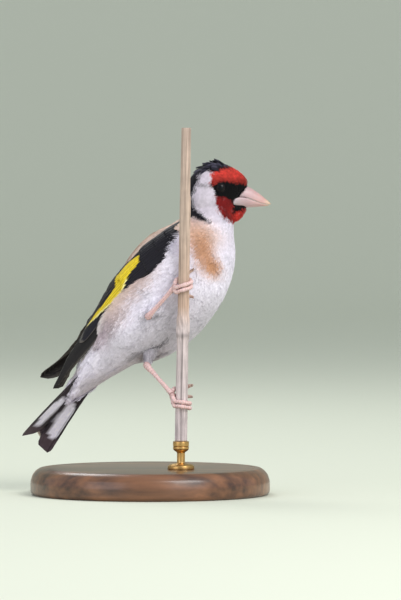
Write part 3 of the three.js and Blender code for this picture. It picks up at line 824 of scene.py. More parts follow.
# The middle and reach of the place beside the lower bill, and how far it is drawn in.
JAW = {"x": (33.0, 1.8), "z": (109.1, 1.3), "share": 0.17}
x_off = (skin_points[:, 0] - JAW["x"][0]) / JAW["x"][1]
z_off = (skin_points[:, 2] - JAW["z"][0]) / JAW["z"][1]
drawn_in = JAW["share"] * np.exp(-(x_off**2) - z_off**2)
skin_points[:, 1] -= (skin_points[:, 1] - BODY_CENTRE[1]) * drawn_in
skin.data.vertices.foreach_set("co", (skin_points * MM).ravel())
skin.data.update()
face_middles = read_rows(skin.data.polygons, "center") / MM
face_normals = read_rows(skin.data.polygons, "normal")
corner_lists = [list(p.vertices) for p in skin.data.polygons]
skin_tree = BVHTree.FromPolygons(skin_points.tolist(), corner_lists)
print("skin from", skin_points.min(axis=0).round(1), "to", skin_points.max(axis=0).round(1))


# %% Painting a piece with its marking
def paint(mesh, colours):
    """Store a colour for each point of a mesh, or one for them all."""
    layer = mesh.color_attributes.new("marking", "FLOAT_COLOR", "POINT")
    rgba = np.ones((len(mesh.vertices), 4), np.float32)
    rgba[:, :3] = colours
    layer.data.foreach_set("color", rgba.ravel())


# The skin shows only through gaps in the coat, so it carries the marking darkened as painted shade.
SKIN_SHADE = 0.6
paint(skin.data, marking(skin_points, 0.1) * SKIN_SHADE)
settle(skin, PLUMAGE, "pale_plumage", "torso", "neck", "head", "thigh_right", "thigh_left")

# %% [markdown]
# The folded wing is a curved sheet on the side of the body, known by two edges at several
# places along the bird. The body coat needs it too: flank and mantle feathers swell up and
# lie over the wing's edges, so that the wing sinks into the plumage as it does in life.

# %% The wing's sheet
# Along the body axis, then the back edge and the flank edge, each to the belly and the side.
WING = [
    (27.0, -11.0, 7.4, -3.0, 11.3),
    (20.0, -12.4, 8.8, -4.0, 13.4),
    (10.0, -14.2, 8.8, -6.4, 14.4),
    (0.0, -14.5, 7.8, -8.0, 13.8),
    (-12.0, -14.0, 5.6, -8.4, 12.2),
    (-24.0, -12.5, 3.8, -7.4, 10.0),
    (-36.0, -10.2, 3.4, -6.1, 8.4),
    (-46.0, -8.6, 3.9, -6.4, 6.7),
    (-52.4, -7.9, 4.3, -7.0, 5.8),
]
WING_ROLL = 15
# How far the sheet bulges in its middle, and the chord from which it bulges in full.
WING_BULGE = 1.4
FULL_CHORD = 9
# How steeply the sheet turns in under the flank, past its lower edge.
WING_TUCK = 15.0
# The left wing's rise: how high at its tip, how late it comes, and the most of it past the tip.
LEFT_WING_RAISE = (9.6, 3.2, 1.1)
# The right wing's long feathers bow a little away from the tail: how far, where and the reach.
RIGHT_WING_BOW = (1.5, -40.0, 9.0)


def wing_raise(along, side):
    """How far the left wing is raised towards its tip, and the right one bows off the tail."""
    high, late, most = LEFT_WING_RAISE
    reach = np.clip((WING[0][0] - along) / (WING[0][0] - WING[-1][0]), 0, most)
    out, where, spread = RIGHT_WING_BOW
    bow = out * np.exp(-(((along - where) / spread) ** 2))
    return np.where(side < 0, high * reach**late, bow)


def wing_edges(along):
    """The back edge and the flank edge at each place, and the chord between them."""
    back_belly, back_side, flank_belly, flank_side = section_at(WING, along)[:, 1:].T
    chord = np.hypot(back_belly - flank_belly, back_side - flank_side)
    return back_belly, back_side, flank_belly, flank_side, chord


def wing_point(side, along, across, lift):
    """Points of a folded wing. Side is 1 for the right wing and -1 for the left one."""
    along, across, lift = np.broadcast_arrays(along, across, lift)
    shape = along.shape
    along, across, lift = along.ravel(), across.ravel(), lift.ravel()
    back_belly, back_side, flank_belly, flank_side, chord = wing_edges(along)
    within = np.clip(across, 0, 1)
    bulge = WING_BULGE * np.minimum(1, chord / FULL_CHORD) * 4 * within * (1 - within)
    off = bulge + lift - WING_TUCK * np.minimum(across, 0) ** 2
    belly = flank_belly + (back_belly - flank_belly) * across - (flank_side - back_side) / chord * off
    out = flank_side + (back_side - flank_side) * across + (flank_belly - back_belly) / chord * off
    belly = belly - wing_raise(along, side)
    return body_point(along, belly, side * out, WING_ROLL).reshape(shape + (3,))


print("wing chord at the yellow patch", wing_edges(0.0)[4].round(1), "mm")


# %% The coat's swell beside the wing
# Heights of the coat over the wing's two edges, and how far from each edge the swell begins.
FLANK_SWELL = (2.3, 9.0)
BACK_SWELL = (1.3, 4.5)
# Where the swell fades out towards the tail, and how far short of the wing's front it rounds off.
SWELL_FADES = (-26, -18)
SHOULDER_ROUND = 1.5
# Along the body, then how far across the wing's sheet the flank coat ends or the mantle begins.
FLANK_EDGE = [
    (27.0, -0.05), (20.0, -0.2), (12.0, -0.38), (1.0, -0.38), (-5.0, -0.22), (-9.0, -0.2),
    (-12.0, -0.2), (-16.0, -0.14), (-21.0, -0.1), (-26.0, -0.06), (-33.0, -0.1),
]
BACK_EDGE = [(27.0, 0.8), (20.0, 0.75), (4.0, 0.74), (-4.0, 0.78), (-12.0, 0.8), (-33.0, 0.8)]


def wing_place(points):
    """Place along the body, and place across the nearer wing's sheet with its chord."""
    a, b, r = axes(BODY_PITCH, WING_ROLL)
    off = points - BODY_CENTRE
    along = off @ a[0]
    belly = off @ b[0] + wing_raise(along, off @ r[0])
    out = np.abs(off @ r[0])
    back_belly, back_side, flank_belly, flank_side, chord = wing_edges(along)
    to_back = (belly - flank_belly) * (back_belly - flank_belly)
    to_back += (out - flank_side) * (back_side - flank_side)
    return along, to_back / chord**2, chord


def flank_edge(along):
    return section_at(FLANK_EDGE, along)[:, 1]


def back_edge(along):
    return section_at(BACK_EDGE, along)[:, 1]


def ease(share):
    share = np.clip(share, 0, 1)
    return share * share * (3 - 2 * share)


def swell(points):
    """How much higher the coat stands at each place, to cover the edges of the wing."""
    along, across, chord = wing_place(points)
    ahead = np.maximum(along - WING[0][0] + SHOULDER_ROUND, 0)
    below = np.hypot(np.maximum((flank_edge(along) - across) * chord, 0), ahead)
    behind = np.hypot(np.maximum((across - back_edge(along)) * chord, 0), ahead)
    flank = FLANK_SWELL[0] * ease(1 - below / FLANK_SWELL[1])
    back = BACK_SWELL[0] * ease(1 - behind / BACK_SWELL[1])
    return np.where(across < 0.5, flank, back) * fade(along, *SWELL_FADES)


print("swell on the flank", swell(body_point(0.0, -6.0, 15.0, WING_ROLL))[0].round(2), "mm")

# %% [markdown]
# Small feathers lie like tiles: each starts at the skin, runs along the lie of the coat and
# covers the roots behind it. Strand particles would be lost on export, so every feather is
# mesh: a cupped vane with a few fine barbs that fray its edge. A walk over the skin lays each
# one down, so that it bends with the body.


# %% The lie of the coat
# A feather's line over the skin has this many steps, so one more point.
STEPS = 3
STATIONS = np.linspace(0, 1, STEPS + 1)
# How hard the feathers of the back and of the flank lean towards the wing, and how near it.
BACK_PULL = (0.3, 4)
FLANK_PULL = (0.4, 5)
# The lean grows from the first pair of places along the body and goes at the second.
PULL_ALONG = ((-24, -18), (32, 28))
# How far across the wing's sheet the flank's part of the coat goes.
FLANK_PART = 0.4
# How far from the bill the lie turns from straight away from it to along the body.
HEAD_LIE = (9, 23)
# Where on a thigh its own lie takes over, and how far outside the thigh that goes on.
THIGH_LIE = (0.15, 0.4)
THIGH_REACH = 1.2


def unit(vectors):
    return vectors / np.maximum(np.linalg.norm(vectors, axis=-1, keepdims=True), 1e-9)


def along_leg(points, leg):
    """Share of the way down a thigh, and distance from its middle line."""
    knee = np.array(leg["knee"])
    down = np.array(leg["ankle"]) - knee
    part = np.clip((points - knee) @ down / (down @ down), 0, 1)
    return part, np.linalg.norm(points - knee - part[:, None] * down, axis=1)


def wing_pull(points):
    """Feathers beside the wing lean towards it, and so lie over its edges."""
    along, across, chord = wing_place(points)
    _, belly, _ = axes(BODY_PITCH, WING_ROLL)
    near_flank = np.clip(1 + (across - flank_edge(along)) * chord / FLANK_PULL[1], 0, 1)
    near_back = np.clip(1 - (across - back_edge(along)) * chord / BACK_PULL[1], 0, 1)
    on_flank = across < FLANK_PART
    lean = np.where(on_flank, -FLANK_PULL[0] * near_flank, BACK_PULL[0] * near_back)
    beside = fade(along, *PULL_ALONG[0]) * fade(along, *PULL_ALONG[1])
    return (beside * lean)[:, None] * belly


def lie(points, normals):
    """The way that feathers point at each place on the skin."""
    from_bill = points - BILL_ROOT
    reach = np.linalg.norm(from_bill, axis=1)
    along = (points - BODY_CENTRE) @ axes(BODY_PITCH, 0)[0][0]
    tilt = section_at(TRUNK, along)[:, 2]
    to_tail = -axes(tilt, 0)[0]
    share = fade(reach, *HEAD_LIE)
    way = mix(unit(from_bill), to_tail, share)
    way += wing_pull(points)
    for leg in LEGS.values():
        part, off = along_leg(points, leg)
        thick = leg["thigh"][0]
        share = fade(part, *THIGH_LIE) * fade(off, thick + THIGH_REACH, thick)
        way = mix(way, unit(np.array(leg["ankle"]) - np.array(leg["knee"])), share)
    way -= normals * (way * normals).sum(axis=1)[:, None]
    return unit(way)


def drop_to_skin(points):
    """The nearest places on the skin and the directions away from it."""
    places = np.empty_like(points)
    normals = np.empty_like(points)
    for k, point in enumerate(points):
        place, normal, _, _ = skin_tree.find_nearest(Vector(point))
        places[k] = place
        normals[k] = normal
    return places, normals


def walk(roots, normals, lengths):
    """A line over the skin from each root, with the direction away from the skin."""
    line = [roots]
    rise = [normals]
    place = roots
    normal = normals
    for _ in range(STEPS):
        place = place + lie(place, normal) * (lengths / STEPS)[:, None]
        place, normal = drop_to_skin(place)
        line.append(place)
        rise.append(normal)
    return np.stack(line, axis=1), np.stack(rise, axis=1)


print("lie on the crown:", lie(np.array([[22.0, 10.5, 124.0]]), np.array([[0.0, 0.0, 1.0]]))[0].round(2))


# %% Unwrapping the skin's own shape
# How many degrees of turn fill the width of the flat sheet. Then for the body and the head, how
# high on the sheet each begins, where along its axis, and the length that fills the sheet.
SHEET_TURN = 365
BODY_SHEET = (0.36, -54, 160)
HEAD_SHEET = (0.02, 14, 75)
SHEET_EDGE = 0.004
HEAD_MIDDLE = np.array([25.0, BODY_CENTRE[1], 112.5])
HEAD_FOOT = 103


def up_sheet(places, low, first, length):
    return low + (places - first) / length


def unwrap(points):
    """A place on a flat sheet for each place on the bird: the body above, the head below."""
    along, around = body_place(points)
    sheet = np.stack([0.5 + around / SHEET_TURN, up_sheet(along, *BODY_SHEET)], axis=1)
    off = points - HEAD_MIDDLE
    turn = np.degrees(np.arctan2(off[:, 1], off[:, 2]))
    head_sheet = np.stack([0.5 + turn / SHEET_TURN, up_sheet(points[:, 0], *HEAD_SHEET)], axis=1)
    head = points[:, 2] > HEAD_FOOT
    sheet[head] = head_sheet[head]
    return np.clip(sheet, SHEET_EDGE, 1 - SHEET_EDGE)


print("unwrapped breast:", unwrap(np.array([[30.0, -3.0, 85.0]]))[0].round(3))


# %% Making a piece from arrays
def array_piece(name, points, triangles, colours, sheet):
    """An object of many small faces, with its marking and its place on the unwrapped skin."""
    mesh = bpy.data.meshes.new(name)
    mesh.vertices.add(len(points))
    mesh.vertices.foreach_set("co", (points * MM).astype(np.float32).ravel())
    mesh.loops.add(triangles.size)
    mesh.loops.foreach_set("vertex_index", triangles.astype(np.int32).ravel())
    mesh.polygons.add(len(triangles))
    mesh.polygons.foreach_set("loop_start", np.arange(0, triangles.size, 3, dtype=np.int32))
    mesh.update(calc_edges=True)
    mesh.shade_smooth()
    unwrapped = mesh.uv_layers.new(name="OFBake")
    unwrapped.data.foreach_set("uv", sheet[triangles.ravel()].astype(np.float32).ravel())
    paint(mesh, colours)
    piece = bpy.data.objects.new(name, mesh)
    bpy.context.scene.collection.objects.link(piece)
    return piece


print("pieces from arrays are ready")


# %% One feather of the coat, repeated
# Widths of the vane and of a barb at four places from root to tip, as shares of the widest.
VANE_SHAPE = (0.45, 1.0, 0.9, 0.3)
BARB_SHAPE = (1.0, 0.9, 0.65, 0.0)
VANE_TRIANGLES = 12
BARB_TRIANGLES = 5
BODY_BARBS = 6
FACE_BARBS = 7
# How deep a root sinks, how a feather's height grows towards its tip, and how its vane is cupped.
ROOT_SINK = 0.12
RISE_POWER = 0.75
CUP = 0.1
# Barbs: their part of the vane's width, how far they stray at the root and in direction, the least
# and the range of their length, the middle and stray of their lift, and their least and range of
# thickness. A line may be read a little past its end.
BARB_PART = 0.8
BARB_SHIFT = 0.08
BARB_STRAY = 0.35
BARB_REACH = (0.86, 0.26)
BARB_LIFT = (0.04, 0.08)
BARB_THIN = (0.13, 0.05)
PAST_END = 1.2
# How far across a feather reaches on the unwrapped skin.
PATCH = 0.003


def at_share(lines, share):
    """The point at a share of each line's length, past its end if the share is over one."""
    steps = lines.shape[1] - 1
    spot = np.clip(share * steps, 0, steps * PAST_END)
    k = np.clip(np.floor(spot).astype(int), 0, steps - 1)
    rows = np.arange(len(lines))
    t = (spot - k)[:, None]
    return lines[rows, k] * (1 - t) + lines[rows, k + 1] * t


def feather_strips(lines, rises, widths, depth, barbs, vane, fan):
    """Points, triangles, share along the feather and share across it, for each feather."""
    steps = lines.shape[1] - 1
    count = len(lines)
    way = unit(lines[:, -1] - lines[:, 0])
    lengths = np.linalg.norm(lines[:, -1] - lines[:, 0], axis=1)
    points, shares, offs, triangles = [], [], [], []

    def add(at, share, off):
        points.append(at)
        shares.append(np.full(count, share))
        offs.append(off)
        return len(points) - 1

    def bridge(near, far):
        triangles.append((near[0], near[1], far[1]))
        triangles.append((near[0], far[1], far[0]))

    def station(share, reach, shift, spread, lift):
        spot = share * reach
        middle = at_share(lines, spot)
        rise = unit(at_share(rises, np.minimum(spot, 1.0)))
        side = unit(np.cross(rise, way))
        off = shift + spread * lengths * share
        height = -ROOT_SINK + (depth + lift) * share**RISE_POWER
        return middle + side * off[:, None] + rise * height[:, None], side, rise, off

    if vane:
        before = None
        for k in range(steps + 1):
            share = k / steps
            even = np.ones(count)
            middle, side, rise, off = station(share, even, 0 * even, 0 * even, 0 * even)
            half = widths * VANE_SHAPE[k] / 2
            row = [add(middle - side * half[:, None], share, -half),
                   add(middle + rise * (widths * CUP)[:, None], share, 0 * half),
                   add(middle + side * half[:, None], share, half)]
            if before:
                bridge(before[:2], row[:2])
                bridge(before[1:], row[1:])
            before = row
    for barb in range(barbs):
        place = (barb + 0.5) / barbs - 0.5
        shift = widths * (place + chance.normal(0, BARB_SHIFT, count)) * BARB_PART
        spread = fan * (2 * place + chance.normal(0, BARB_STRAY, count))
        reach = BARB_REACH[0] + BARB_REACH[1] * chance.random(count)
        lift = chance.normal(*BARB_LIFT, count)
        thin = widths * (BARB_THIN[0] + BARB_THIN[1] * chance.random(count)) / 2
        before = None
        for k in range(steps + 1):
            share = k / steps
            middle, side, rise, off = station(share, reach, shift, spread, lift)
            if k == steps:
                tip = add(middle, share, off)
                triangles.append((before[0], before[1], tip))
                break
            half = (thin * BARB_SHAPE[k])[:, None]
            row = [add(middle - side * half, share, off), add(middle + side * half, share, off)]
            if before:
                bridge(before, row)
            before = row
    return [np.stack(v, axis=1) for v in (points, shares, offs)] + [np.array(triangles)]


print("a body feather has", VANE_TRIANGLES + BODY_BARBS * BARB_TRIANGLES, "triangles")


# %% Many feathers as one piece
# A root is darker partly as the real base of a feather and partly as painted shade in the coat.
# How bright a tip is, how early a feather brightens from its root, and how uneven feathers are:
# the least, and what is added as the root gets darker.
TIP_BRIGHT = 1.04
BRIGHTENS = 0.6
UNEVEN = (0.02, 0.16)


def feather_piece(name, lines, rises, widths, colours, slot, depth, barbs, fan, vane=True,
                  root_shade=0.62):
    """Feathers along lines over the skin, each with its own colour, darker at its root."""
    points, shares, offs, triangles = feather_strips(lines, rises, widths, depth, barbs, vane, fan)
    count, each = shares.shape
    sheet = unwrap(lines[:, 0])[:, None, :] + PATCH * np.stack(
        [np.clip(offs / widths[:, None], -1, 1) * 0.5, shares - 0.5], axis=2)
    # Darker roots: partly the real darker bases of feathers, partly painted shade deep in the coat.
    dark = np.broadcast_to(root_shade, (count,))[:, None, None]
    shade = dark + (TIP_BRIGHT - dark) * shares[..., None] ** BRIGHTENS
    uneven = UNEVEN[0] + UNEVEN[1] * (1 - dark)
    bright = 1 + uneven * chance.standard_normal((count, 1, 1))
    painted = np.clip(colours[:, None, :] * shade * bright, 0, 1)
    starts = np.arange(count)[:, None, None] * each
    piece = array_piece(name, points.reshape(-1, 3), (triangles[None] + starts).reshape(-1, 3),
                        painted.reshape(-1, 3), sheet.reshape(-1, 2))
    return settle(piece, PLUMAGE, slot)


print("feather pieces are ready")

# %% Where the coat grows
EYE = {"x": 26.4, "z": 115.1, "side": 6.35, "radius": 2.2, "bare": (2.1, 1.75)}
EYE_RIM = {"wide": 1.98, "high": 1.62, "thick": 0.15, "out": 7.42, "deep": 0.25, "tilt": 0.15,
           "turn": 0.08}
BILL_BASE = [
    (36.7, 116.2), (35.7, 114.8), (34.4, 113.3), (33.1, 111.9), (31.7, 110.2), (31.2, 108.4),
    (35.6, 107.7), (47.0, 106.5), (47.0, 117.0),
]
# How far out from the middle of the head a place must be to lie beside an eye.
EYE_SIDE_FROM = 4
# Where the pieces of the coat part: degrees from the belly, places along the body, and the
# distance from the bill where the face ends.
BELLY_TO = 55
BREAST_TO = 60
BREAST_FROM = 4
BACK_FROM = 118
VENT_FROM = -20
NECK_FROM = 23
FACE_TO = 14
# How far a root strays from the middle of its face of skin, and the stretch of the body where
# none grow under the wing. The coat thins a little between the two distances from the bill.
ROOT_STRAY = 0.12
UNDER_WING = (-30, 26.3)
THINNING = ([20, 34], [1.0, 0.8])


def bare(points):
    """Places with no feathers: the eyes, and the base of the bill."""
    wide, high = EYE["bare"]
    near_eye = np.hypot((points[:, 0] - EYE["x"]) / wide, (points[:, 2] - EYE["z"]) / high) < 1
    near_eye &= np.abs(points[:, 1] - BODY_CENTRE[1]) > EYE_SIDE_FROM
    on_bill = inside(points[:, 0], points[:, 2], BILL_BASE)
    return near_eye | on_bill


def region(points):
    """The name of the coat piece that each root belongs to."""
    along, around = body_place(points)
    reach = np.linalg.norm(points - BILL_ROOT, axis=1)
    names = np.where(around > 0, "coat_flank_right", "coat_flank_left").astype("<U20")
    names[np.abs(around) < BELLY_TO] = "coat_belly"
    names[(np.abs(around) < BREAST_TO) & (along > BREAST_FROM)] = "coat_breast"
    names[np.abs(around) > BACK_FROM] = "coat_back"
    names[along < VENT_FROM] = "coat_vent"
    names[along > NECK_FROM] = "coat_neck"
    names[points[:, 2] > HEAD_FOOT] = "coat_head"
    names[(points[:, 2] > HEAD_FOOT) & (reach < FACE_TO)] = "coat_face"
    return names


roots = face_middles + chance.normal(0, ROOT_STRAY, face_middles.shape)
keep = ~bare(roots)
along_of_roots, across_of_roots, _ = wing_place(roots)
under_wing = across_of_roots > flank_edge(along_of_roots)
under_wing &= across_of_roots < back_edge(along_of_roots)
under_wing &= (along_of_roots > UNDER_WING[0]) & (along_of_roots < UNDER_WING[1])
keep &= ~under_wing
reach_of_roots = np.linalg.norm(roots - BILL_ROOT, axis=1)
keep &= chance.random(len(roots)) < np.interp(reach_of_roots, *THINNING)
roots = roots[keep]
root_normals = face_normals[keep]
root_reach = reach_of_roots[keep]
root_regions = region(roots)
for label in sorted(set(root_regions)):
    print(label, int((root_regions == label).sum()), "feathers")

# %% Lengths and widths of the coat
# Distances from the bill, then the lengths or widths of the feathers there.
LENGTHS = ([2, 7, 13, 20, 32, 60], [0.8, 1.2, 2.0, 3.0, 4.6, 6.2])
WIDTHS = ([3, 14, 30, 60], [0.7, 1.0, 1.7, 2.3])
LENGTH_VARIES = (0.8, 1.2)
# The short coat of a thigh: from what share of the way down, how far outside it, and its size.
THIGH_COAT = {"from": 0.35, "out": 0.6, "size": 0.6}
root_lengths = np.interp(root_reach, *LENGTHS) * chance.uniform(*LENGTH_VARIES, len(roots))
root_widths = np.interp(root_reach, *WIDTHS)
on_leg = np.zeros(len(roots), bool)
for leg in LEGS.values():
    part, off = along_leg(roots, leg)
    on_leg |= (part > THIGH_COAT["from"]) & (off < leg["thigh"][0] + THIGH_COAT["out"])
root_lengths[on_leg] *= THIGH_COAT["size"]
root_widths[on_leg] *= THIGH_COAT["size"]
print("coat feathers from", root_lengths.min().round(2), "to", root_lengths.max().round(2), "mm long")

# %% Clumps
# How many there are, and how much their brightness, height and lie differ from one another.
CLUMPS = 900
CLUMP_BRIGHT = 0.035
CLUMP_HEIGHT = 0.3
CLUMP_TURN = 0.1
# How far from the bill clumps begin to stand apart, and where they do so in full.
CLUMPS_FROM = (16, 24)
clump_roots = roots[chance.integers(0, len(roots), CLUMPS)]
clump_tree = KDTree(CLUMPS)
for k, place in enumerate(clump_roots):
    clump_tree.insert(place, k)
clump_tree.balance()
clump_of = np.array([clump_tree.find(root)[1] for root in roots])
clump_bright = chance.normal(1.0, CLUMP_BRIGHT, CLUMPS)
clump_height = chance.uniform(0.0, CLUMP_HEIGHT, CLUMPS)
clump_turn = chance.normal(0.0, CLUMP_TURN, CLUMPS)
on_body = fade(root_reach, *CLUMPS_FROM)
print(CLUMPS, "clumps of feathers")


# %% The marking of a feather
# The point of a feather's line that gives its colour: two thirds down, in the part that shows.
SHOWS_AT = 2
# Darker roots are partly painted shade deep in the coat, partly the real bases of feathers.
# Brightness of a root beside its tip: the least, the range, and how pale a feather has the most.
ROOT_BRIGHT = (0.45, 0.4, 0.6)


def feather_marking(lines, some):
    """The colour of each feather, and how bright its root is beside that."""
    least, more, pale = ROOT_BRIGHT
    colours = marking(lines[:, SHOWS_AT]) * clump_bright[clump_of[some]][:, None]
    colours = np.clip(colours, 0, 1)
    return colours, least + more * np.clip(colours.mean(axis=1) / pale, 0, 1)


# %% The coat
# The most triangles of a piece, and how far the barbs of a feather fan out.
MOST = 190000
FACE_FAN = 0.16
BODY_FAN = 0.1
# How much of its clump's height a feather has at its root.
CLUMP_AT_ROOT = 0.2
for label in sorted(set(root_regions)):
    chosen = np.flatnonzero(root_regions == label)
    fine = label in ("coat_face", "coat_head")
    each = FACE_BARBS * BARB_TRIANGLES if fine else VANE_TRIANGLES + BODY_BARBS * BARB_TRIANGLES
    shares = int(np.ceil(len(chosen) * each / MOST))
    for part in range(shares):
        some = chosen[part::shares]
        name = label if shares == 1 else label + "_" + str(part + 1)
        lines, rises = walk(roots[some], root_normals[some], root_lengths[some])
        colours, shades = feather_marking(lines, some)
        heights = swell(lines.reshape(-1, 3)).reshape(lines.shape[:2])
        raised = (clump_height[clump_of[some]] * on_body[some])[:, None]
        heights += raised * np.linspace(CLUMP_AT_ROOT, 1, len(STATIONS))
        turned_by = (clump_turn[clump_of[some]] * on_body[some])[:, None]
        swing = turned_by * STATIONS
        aside = np.cross(rises, lines[:, -1:] - lines[:, :1]) * swing[..., None]
        lines = lines + rises * heights[..., None] + aside
        feather_piece(name, lines, rises, root_widths[some], colours,
                      "head_plumage" if fine else "pale_plumage", depth=COAT_DEPTH,
                      barbs=FACE_BARBS if fine else BODY_BARBS,
                      fan=FACE_FAN if fine else BODY_FAN, vane=not fine, root_shade=shades)


# %% The ruffled crown
# Where the locks root, how long they are, how far a lock's feathers spread at the root and at the
# tip, how far they arch, how wide each is, and how much painted sheen they take: slate mixed into
# their black.
CREST = {"above": 121.6, "from": 19, "to": 30, "length": (2.4, 4.0), "spread": 0.55, "tip": 0.12,
         "arch": 0.9, "width": 0.75, "painted_sheen": (0, 0.6)}
# How high the tips stand: the least, the range, and how rare the highest are. Then the share of
# that at places along X.
STAND = (0.1, 1.2, 1.4)
STAND_ALONG = ([19, 22, 27, 30], [0.2, 0.75, 0.7, 0.3])


def crest(locks=75, each=16):
    """Black feathers on the crown, drawn together in ragged points by the wind."""
    on_crown = (roots[:, 2] > CREST["above"]) & inside(roots[:, 0], roots[:, 2], CAP)
    on_crown &= (roots[:, 0] > CREST["from"]) & (roots[:, 0] < CREST["to"])
    spots = np.flatnonzero(on_crown)
    middles = chance.choice(spots, locks)
    ways = lie(roots[middles], root_normals[middles])
    tips = roots[middles] + ways * chance.uniform(*CREST["length"], locks)[:, None]
    stand = STAND[0] + STAND[1] * chance.random(locks) ** STAND[2]
    stand *= np.interp(roots[middles, 0], *STAND_ALONG)
    tips = tips + root_normals[middles] * stand[:, None]
    spread = chance.normal(0, CREST["spread"], (locks * each, 3))
    starts, outs = drop_to_skin(np.repeat(roots[middles], each, axis=0) + spread)
    ends = np.repeat(tips, each, axis=0) + chance.normal(0, CREST["tip"], (locks * each, 3))
    share = STATIONS[None, :, None]
    lines = starts[:, None] * (1 - share) + ends[:, None] * share
    lines = lines + outs[:, None] * CREST["arch"] * share * (1 - share)
    rises = np.repeat(outs[:, None], len(STATIONS), axis=1)
    # Painted sheen: each lock takes some slate in its black.
    painted_sheen = np.repeat(chance.uniform(*CREST["painted_sheen"], locks), each)
    colours = mix(CAP_BLACK, CREST_PAINTED_SHEEN, painted_sheen)
    widths = np.full(locks * each, CREST["width"])
    return feather_piece("coat_crown_ruff", lines, rises, widths, colours, "head_plumage",
                         depth=0.5, barbs=4, fan=0.0, root_shade=0.7)


crest()

# %% [markdown]
# The folded wing is a stack of tiers: lesser, median and greater coverts over the secondaries
# and primaries, with the tertials on top. Each feather is a curved blade with a shaft, laid
# on the wing's sheet by its place along the body, its place across and its height.

# %% One blade
ALONG = np.linspace(0, 1, 38)
ACROSS = np.array([-1, -0.8, -0.55, -0.3, -0.1, -0.04, 0.04, 0.1, 0.3, 0.55, 0.8, 1])
# A vane's width at its root, what is added, by what share of the length, and how steeply.
VANE_ROOT = (0.55, 0.45, 0.35, 0.8)
# The shaft: half its share of the vane, its height, how much of that its tip loses, its shade.
SHAFT = {"half": 0.07, "high": 0.12, "taper": 0.6, "shade": 0.6}
CAMBER = 0.25
FRAY = 0.03
VANE_THICKNESS = 0.12


def blade_width(share, tip_start, pointed):
    """How wide a feather is at each share of its length."""
    least, more, full_at, steep = VANE_ROOT
    widening = least + more * np.clip(share / full_at, 0, 1) ** steep
    close = np.clip((share - tip_start) / (1 - tip_start), 0, 1)
    return widening * (1 - close**pointed) ** (1 / pointed)


def blade(place, width, colour, tip_start, pointed, outer=0.4):
    """A feather's points, faces, colours and vane map. place(t, off, rise) gives its points."""
    share, edge = np.meshgrid(ALONG, ACROSS, indexing="ij")
    ragged = 1 + chance.normal(0, FRAY, share.shape) * (np.abs(edge) == 1)
    web = np.where(edge < 0, 2 * outer, 2 * (1 - outer))
    half = width / 2 * web * blade_width(share, tip_start, pointed) * ragged
    off = edge * half
    on_shaft = np.abs(edge) < SHAFT["half"]
    shaft = SHAFT["high"] * on_shaft * (1 - share * SHAFT["taper"])
    rise = CAMBER * (1 - edge**2) * np.minimum(1, half / width * 3) + shaft
    points = place(share, off, rise)
    faces = ring_faces(len(ALONG), len(ACROSS), closed=False)
    shades = colour(share, edge, off)
    shades = np.where(on_shaft[..., None], shades * SHAFT["shade"], shades)
    vane = np.stack([(edge + 1) / 2, share], axis=2)
    return points.reshape(-1, 3), faces, shades.reshape(-1, 3), vane.reshape(-1, 2)


def join_parts(name, parts):
    """Several forms, each of points, faces and colours, as one painted piece, and its faces."""
    points, faces = gather(parts)
    piece = new_piece(name, points, faces)
    paint(piece.data, np.concatenate([p[2] for p in parts]))
    return piece, faces


def join_blades(name, blades, node):
    """Blades as one piece, each a thin solid vane."""
    piece, faces = join_parts(name, blades)
    vanes = np.concatenate([b[3] for b in blades])
    corners = np.array([v for f in faces for v in f])
    layer = piece.data.uv_layers.new(name="vane")
    layer.data.foreach_set("uv", vanes[corners].astype(np.float32).ravel())
    solid = piece.modifiers.new("vane thickness", "SOLIDIFY")
    solid.thickness = VANE_THICKNESS * MM
    solid.offset = -1
    apply_modifiers(piece)
    return settle(piece, VANES, "flight_plumage", node)


print("a blade has", (len(ALONG) - 1) * (len(ACROSS) - 1), "faces on each side")

# %% Colours of the wing
WING_BLACK = tint(18, 15, 25)
PRIMARY_BLACK = tint(24, 20, 19)
YELLOW = tint(232, 203, 40)
YELLOW_PALE = tint(246, 232, 150)
TIP_PALE = tint(226, 214, 200)


# The yellow mark on the folded wing: places along the body and across the wing's sheet.
YELLOW_MARK = [
    (6.9, 0.6), (5.9, 0.3), (3.5, 0.24), (-0.7, 0.19), (-3.2, 0.1), (-5.2, 0.02), (-7.4, -0.03),
    (-12.8, 0.02), (-17.0, 0.16), (-21.2, 0.36), (-27.0, 0.7), (-21.0, 0.6), (-15.2, 0.42),
    (-7.9, 0.4), (-4.9, 1.02), (1.0, 0.82),
]
# How far the mark slips from feather to feather, and how ragged its edge is.
MARK_SLIP = 0.35
MARK_RAGGED = 0.2
# The lower edge of the mark, as places along the body, towards the tail, and across the sheet,
# how broad the paler strip on that edge is, and the place along the body where it begins.
YELLOW_FOOT = ([3.2, 7.4, 12.8, 21.2, 27.0], [0.1, -0.03, 0.02, 0.36, 0.7])
PALE_STRIP = (0.06, -3)
# The pale rim of a feather: where it begins, where it is in full, and how pale. The same for tips.
RIM = (0.8, 1.0, 0.1)
PALE_TIP = (0.955, 0.975, 0.15)
MARKED_TIERS = ("greater coverts", "primary coverts", "secondaries", "primaries", "tertials")


def cover(colour, shade, share):
    """Lay a shade over the colours of a feather, as far as the share at each place says."""
    share = share[..., None]
    return colour * (1 - share) + shade * share


